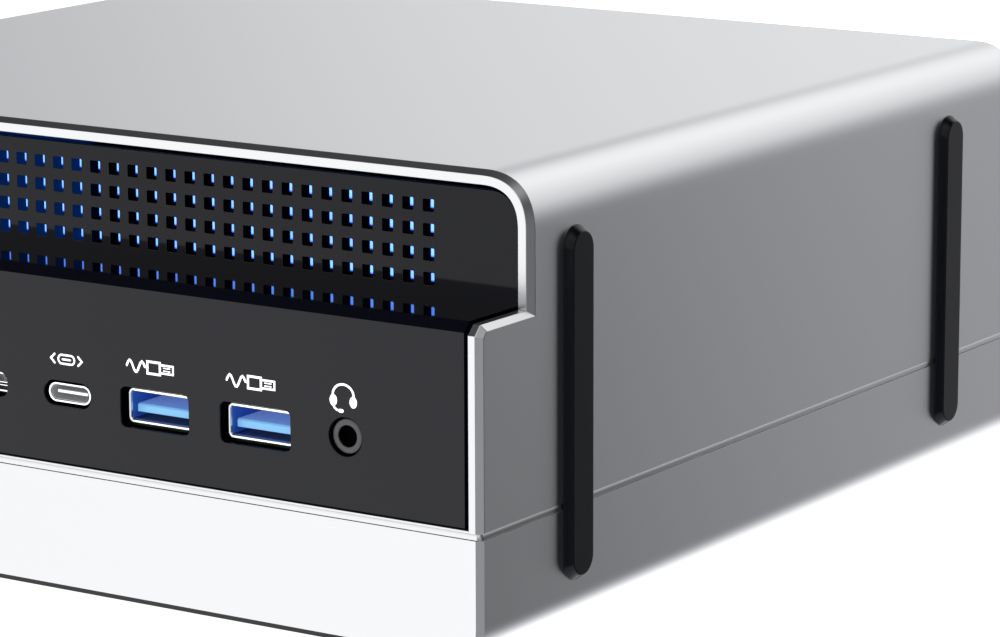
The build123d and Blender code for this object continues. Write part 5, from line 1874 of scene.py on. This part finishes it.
@dataclass
class Fans:
    """The two blower rotors: a hub on a disc, with curved blades round it."""

    blades: int = 23
    hub_radius: float = 13.0
    disc_radius: float = 34.0
    blade_line: tuple[Pair, Pair, Pair] = ((12.6, 0.0), (24.0, -3.5), (34.0, -13.0))
    blade_thick: Pair = (1.0, 0.6)
    height: float = 16.0
    spacing: float = 90.0
    axis_y: float = -5.0

    def blade(self) -> Object:
        """Make one blade: a thin curved wall, thinner at its tip.

        Returns:
            The blade, its foot at height 0.
        """
        root, mid, tip = (Vector(spot) for spot in self.blade_line)
        bow = 2 * mid - (root + tip) / 2
        (thick, thin), loops, steps = self.blade_thick, [], 10
        for t in (i / steps for i in range(steps + 1)):
            spot = (1 - t) ** 2 * root + 2 * t * (1 - t) * bow + t * t * tip
            along = ((1 - t) * (bow - root) + t * (tip - bow)).normalized()
            side = Vector((-along.y, along.x)) * (thick * (1 - t) + thin * t) / 2
            near, far = spot - side, spot + side
            loops.append([Vector((*near, 0)), Vector((*far, 0)), Vector((*far, self.height)),
                          Vector((*near, self.height))])
        skin = Skin()
        skin.loft(loops)
        return skin.piece("blade_pattern", 0.1)

    def rotor(self, name: str, node: str, body: str) -> None:
        """Make one rotor.

        Args:
            name: The piece's name.
            node: The CAD node that it stands for.
            body: The body that it turns with.
        """
        low, high = span_mm(node)
        side = -1 if body == "left_fan" else 1
        middle = Vector((side * self.spacing / 2, self.axis_y, low.z))
        hub, disc, top = self.hub_radius, self.disc_radius, high.z - low.z
        profile = [(2.06, top - 0.85), (2.06, 0.3), (2.4, 0.0), (disc - 0.3, 0.0), (disc, 0.25), (disc, 0.75),
                   (disc - 0.25, 1.0), (hub + 1.2, 1.0),
                   (hub + 0.35, 1.35), (hub, 2.2), (hub, top - 1.2), (hub - 0.35, top - 0.35),
                   (hub - 1.2, top),
                   (hub - 3.0, top), (hub - 3.2, top - 0.1), (hub - 3.3, top - 0.3), (4.0, top - 0.3),
                   (3.7, top - 0.4)]
        skin = Skin()
        skin.loft([[middle + Vector((x, y, z)) for x, y in circle((0, 0), r, 72)] for r, z in profile])
        obj = skin.piece(name)
        BLADES_ROUND_HUB.run(obj, self.blade(), FAN_PLASTIC,
                             {"Count": self.blades, "Middle": tuple(middle * MM)})
        shade(obj.data)
        dress(obj, FAN_PLASTIC, "fan_plastic", node, body=body)

    def build(self) -> None:
        """Make both rotors."""
        for side in ("left", "right"):
            self.rotor(f"{side}_blower_rotor", f"fan_rotor_{side}", f"{side}_fan")


@dataclass
class Inside:
    """The parts that stay as modelled, by the material that they get."""

    finishes: tuple[tuple[Finish, str], ...] = (
        (GUIDE, "light_guide"),
        (LAMP, "grille_lights"),
        (BOARD, "light_board io_board mainboard memory_modules solid_state_drive"),
        (BOARD, "wireless_card wireless_antennas"),
        (ZINC, "io_bracket chassis_tray cooler_platform board_screws"),
        (BLACK_LCP, "power_switch board_sockets dc_inlet rear_audio_jack"),
        (NICKEL, "processor coin_cell rear_usb_c rear_usb_stacks"),
        (CHIP, "power_stages"),
        (COPPER, "cold_plate heat_pipes_left heat_pipes_right"),
        (MILL_ALUMINIUM, "drive_heatsink fin_stack_left fin_stack_right"),
        (FAN_PLASTIC, "fan_housing_left fan_housing_right"),
        (BRASS, "board_standoffs"),
        (BLUE_PBT_PAINTED_GLOW, "rear_usb_tongues"),
    )

    def build(self) -> None:
        """Dress every CAD node that still shows."""
        for finish, names in self.finishes:
            for name in names.split():
                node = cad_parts[name]
                node.data.materials.clear()
                node.data.materials.append(material_of(finish))
                LOG.info("%s: %s", name, finish.name)


# --- Studio ---


@dataclass(frozen=True)
class Glow:
    """A soft panel of light far away: where it is, how wide and how bright."""

    toward: Triple
    full_deg: float
    end_deg: float
    level: float


@dataclass
class Studio:
    """Pale floor, soft panels all round, a fill lamp and the camera.

    The eye is given from the lower right front corner of the casing, in millimetres, and the
    lamp in metres.
    """

    azimuth: float = 33.258
    elevation: float = 11.867
    roll: float = -0.1812
    lens_mm: float = 152.54
    eye_from_corner: Triple = (356.30, -537.57, 192.62)
    lamp_place: Triple = (-0.9, -1.6, 0.6)
    lamp_size: float = 1.2
    lamp_watts: float = 14.0
    ambient: float = 0.05
    ramp_top: float = 2.0
    near_y: float = 0.829    # the arch's near edge, as the sine of an angle off the cross-plane
    far_y: float = 0.878     # and its far edge
    cool: str = "fafbff"
    glows: tuple[Glow, ...] = (
        Glow((-0.537, -0.818, -0.206), 20, 38, 1.425),   # white wall in front, to the left
        Glow((0.0, 0.0, -1.0), 40, 58, 1.1),             # floor
        Glow((0.818, -0.537, -0.206), 9, 50, 0.33),      # grey wall on the right
        Glow((0.5, -0.25, 0.83), 8, 30, 0.5),            # small panel high on the right
        Glow((0.3, -0.75, 0.6), 25, 50, 0.75),           # large panel above the front
    )
    arch: tuple[Triple, ...] = (
        (-180, 1.0, 1.1), (-160, 0.7, 0.7), (-142, 1.3, 1.3), (-95, 1.4, 1.4), (-76, 1.08, 1.12),
        (-50, 0.46, 0.62),
        (-26, 0.27, 0.52), (-10, 0.3, 0.56), (3, 0.6, 0.7), (18, 0.95, 0.98), (60, 1.3, 1.22),
        (92, 1.38, 1.26), (120, 1.04, 1.06), (138, 0.62, 0.8), (156, 1.06, 1.2), (180, 1.16, 1.28),
    )

    def arch_light(self, tree: Tree, toward: Socket) -> Socket:
        """Make the arch of soft panels that stands behind the computer.

        Each entry of arch is an angle about the front-to-back axis, counted from the right
        upwards, then the light there at the arch's near edge and at its far edge.

        Args:
            tree: The world's tree.
            toward: The direction's socket.

        Returns:
            The light's level.
        """
        axes = add_node(tree, "ShaderNodeSeparateXYZ", None, {0: toward})
        angle = add_node(tree, "ShaderNodeMath", {"operation": "ARCTAN2"}, {0: axes.outputs[2], 1: axes})
        share = add_node(tree, "ShaderNodeMapRange", None,
                         {"Value": angle, "From Min": -pi, "From Max": pi})
        ramp = add_node(tree, "ShaderNodeValToRGB", None, {0: share})
        ramp.color_ramp.interpolation = "CARDINAL"
        stops = ramp.color_ramp.elements
        for number, (degrees, near, far) in enumerate(self.arch):
            place = (degrees + 180) / 360
            stop = stops[number] if number < 2 else stops.new(place)
            stop.position = place
            stop.color = (near / self.ramp_top, far / self.ramp_top, 0.0, 1.0)
        ends = add_node(tree, "ShaderNodeSeparateColor", None, {0: ramp})
        depth = add_node(tree, "ShaderNodeMapRange", {"clamp": False},
                         {"Value": axes.outputs[1], "From Min": self.near_y, "From Max": self.far_y,
                          "To Min": 0.0,
                          "To Max": 1.0})
        held = add_node(tree, "ShaderNodeClamp", None, {"Value": depth, "Min": -1.4, "Max": 1.2})
        level = add_node(tree, "ShaderNodeMix", {"data_type": "FLOAT", "clamp_factor": False},
                         {0: held, 2: ends, 3: ends.outputs[1]})
        rim = add_node(tree, "ShaderNodeMapRange", None,
                       {"Value": axes.outputs[1], "From Min": 0.70, "From Max": 0.81, "To Min": 0.7,
                        "To Max": 1.0})
        inside = add_node(tree, "ShaderNodeMapRange", {"interpolation_type": "SMOOTHSTEP"},
                          {"Value": axes.outputs[1], "From Min": 0.48, "From Max": 0.72,
                           "To Max": self.ramp_top})
        faded = add_node(tree, "ShaderNodeMath", {"operation": "MULTIPLY"}, {0: level, 1: rim})
        lit = add_node(tree, "ShaderNodeMath", {"operation": "MULTIPLY"}, {0: faded, 1: inside})
        return add_node(tree, "ShaderNodeMath", {"operation": "ADD"}, {0: lit, 1: self.ambient}).outputs[0]

    def world(self) -> None:
        """Light the studio with soft panels; the far background itself is pale."""
        world = bpy.data.worlds.new("soft_studio")
        bpy.context.scene.world = world
        world.use_nodes = True
        tree = world.node_tree
        tree.nodes.clear()
        place = add_node(tree, "ShaderNodeTexCoord")
        total = self.arch_light(tree, place.outputs["Generated"])
        for glow in self.glows:
            near = add_node(tree, "ShaderNodeVectorMath", {"operation": "DOT_PRODUCT"},
                            {0: place.outputs["Generated"], 1: Vector(glow.toward).normalized()})
            level = add_node(tree, "ShaderNodeMapRange", {"interpolation_type": "SMOOTHSTEP"},
                             {"Value": near.outputs["Value"], "From Min": cos(radians(glow.end_deg)),
                              "From Max": cos(radians(glow.full_deg)), "To Max": glow.level})
            total = add_node(tree, "ShaderNodeMath", {"operation": "ADD"}, {0: level, 1: total}).outputs[0]
        hue = add_node(tree, "ShaderNodeMapRange", None, {"Value": total, "From Min": 0.3, "From Max": 1.2})
        tint = add_node(tree, "ShaderNodeMix", {"data_type": "RGBA"},
                        {0: hue, 6: to_linear(self.cool), 7: to_linear("fdfdfd")})
        light = add_node(tree, "ShaderNodeBackground", None, {"Color": tint.outputs[2], "Strength": total})
        pale = add_node(tree, "ShaderNodeBackground", None, {"Color": (1.0, 1.0, 1.0, 1.0), "Strength": 1.0})
        path = add_node(tree, "ShaderNodeLightPath")
        mix = add_node(tree, "ShaderNodeMixShader", None,
                       {0: path.outputs["Is Camera Ray"], 1: light, 2: pale})
        add_node(tree, "ShaderNodeOutputWorld", None, {"Surface": mix})

    def floor(self) -> None:
        """Lay a plain pale floor that shows in no reflection."""
        reach = 9000.0
        skin = Skin()
        skin.cap(skin.ring([Vector((x, y, -0.02)) for x, y in ((-reach, -reach), (reach, -reach),
                                                               (reach, reach), (-reach, reach))]))
        floor = skin.piece("studio_floor", closed=False)
        floor.data.materials.append(material_of(PAPER))
        floor.visible_glossy = False

    def lamp(self) -> None:
        """Hang a soft area lamp in front, aimed at the computer."""
        data = bpy.data.lights.new("front_fill", "AREA")
        data.shape, data.size, data.energy = "SQUARE", self.lamp_size, self.lamp_watts
        lamp = bpy.data.objects.new("front_fill", data)
        lamp.location = self.lamp_place
        aim = Vector((0, 0, 0.04)) - Vector(self.lamp_place)
        lamp.rotation_euler = aim.to_track_quat("-Z", "Y").to_euler()
        lamp.visible_glossy = False
        bpy.context.scene.collection.objects.link(lamp)

    def camera(self) -> None:
        """Set the camera at its eye point."""
        a, e, r = (radians(v) for v in (self.azimuth, self.elevation, self.roll))
        back = Vector((sin(a) * cos(e), -cos(a) * cos(e), sin(e)))
        right = Vector((cos(a), sin(a), 0))
        up = back.cross(right)
        turned_right = cos(r) * right + sin(r) * up
        turned_up = -sin(r) * right + cos(r) * up
        data = bpy.data.cameras.new("eye")
        data.lens, data.sensor_width = self.lens_mm, 36.0
        data.clip_start, data.clip_end = 0.01, 100.0
        eye = bpy.data.objects.new("eye", data)
        bpy.context.scene.collection.objects.link(eye)
        place = Vector((RIGHT, FRONT, 0)) + Vector(self.eye_from_corner)
        eye.matrix_world = Matrix.Translation(place * MM) @ Matrix((turned_right, turned_up,
                                                                    back)).transposed().to_4x4()
        bpy.context.scene.camera = eye

    def build(self) -> None:
        """Set up floor, light, camera and plain tone mapping."""
        self.floor()
        self.world()
        self.lamp()
        self.camera()
        bpy.context.scene.view_settings.view_transform = "Standard"


def main() -> None:
    """Build the computer and its studio."""
    logging.basicConfig(level=logging.INFO, format="%(name)s: %(message)s")
    Casing().build()
    sockets = Sockets()
    front = Front()
    front.grille()
    front.panel(sockets.openings())
    at = sockets.places()
    front.signs(at)
    sockets.build()
    Rear().build()
    Fans().build()
    Inside().build()
    Studio().build()


if __name__ == "__main__":
    main()
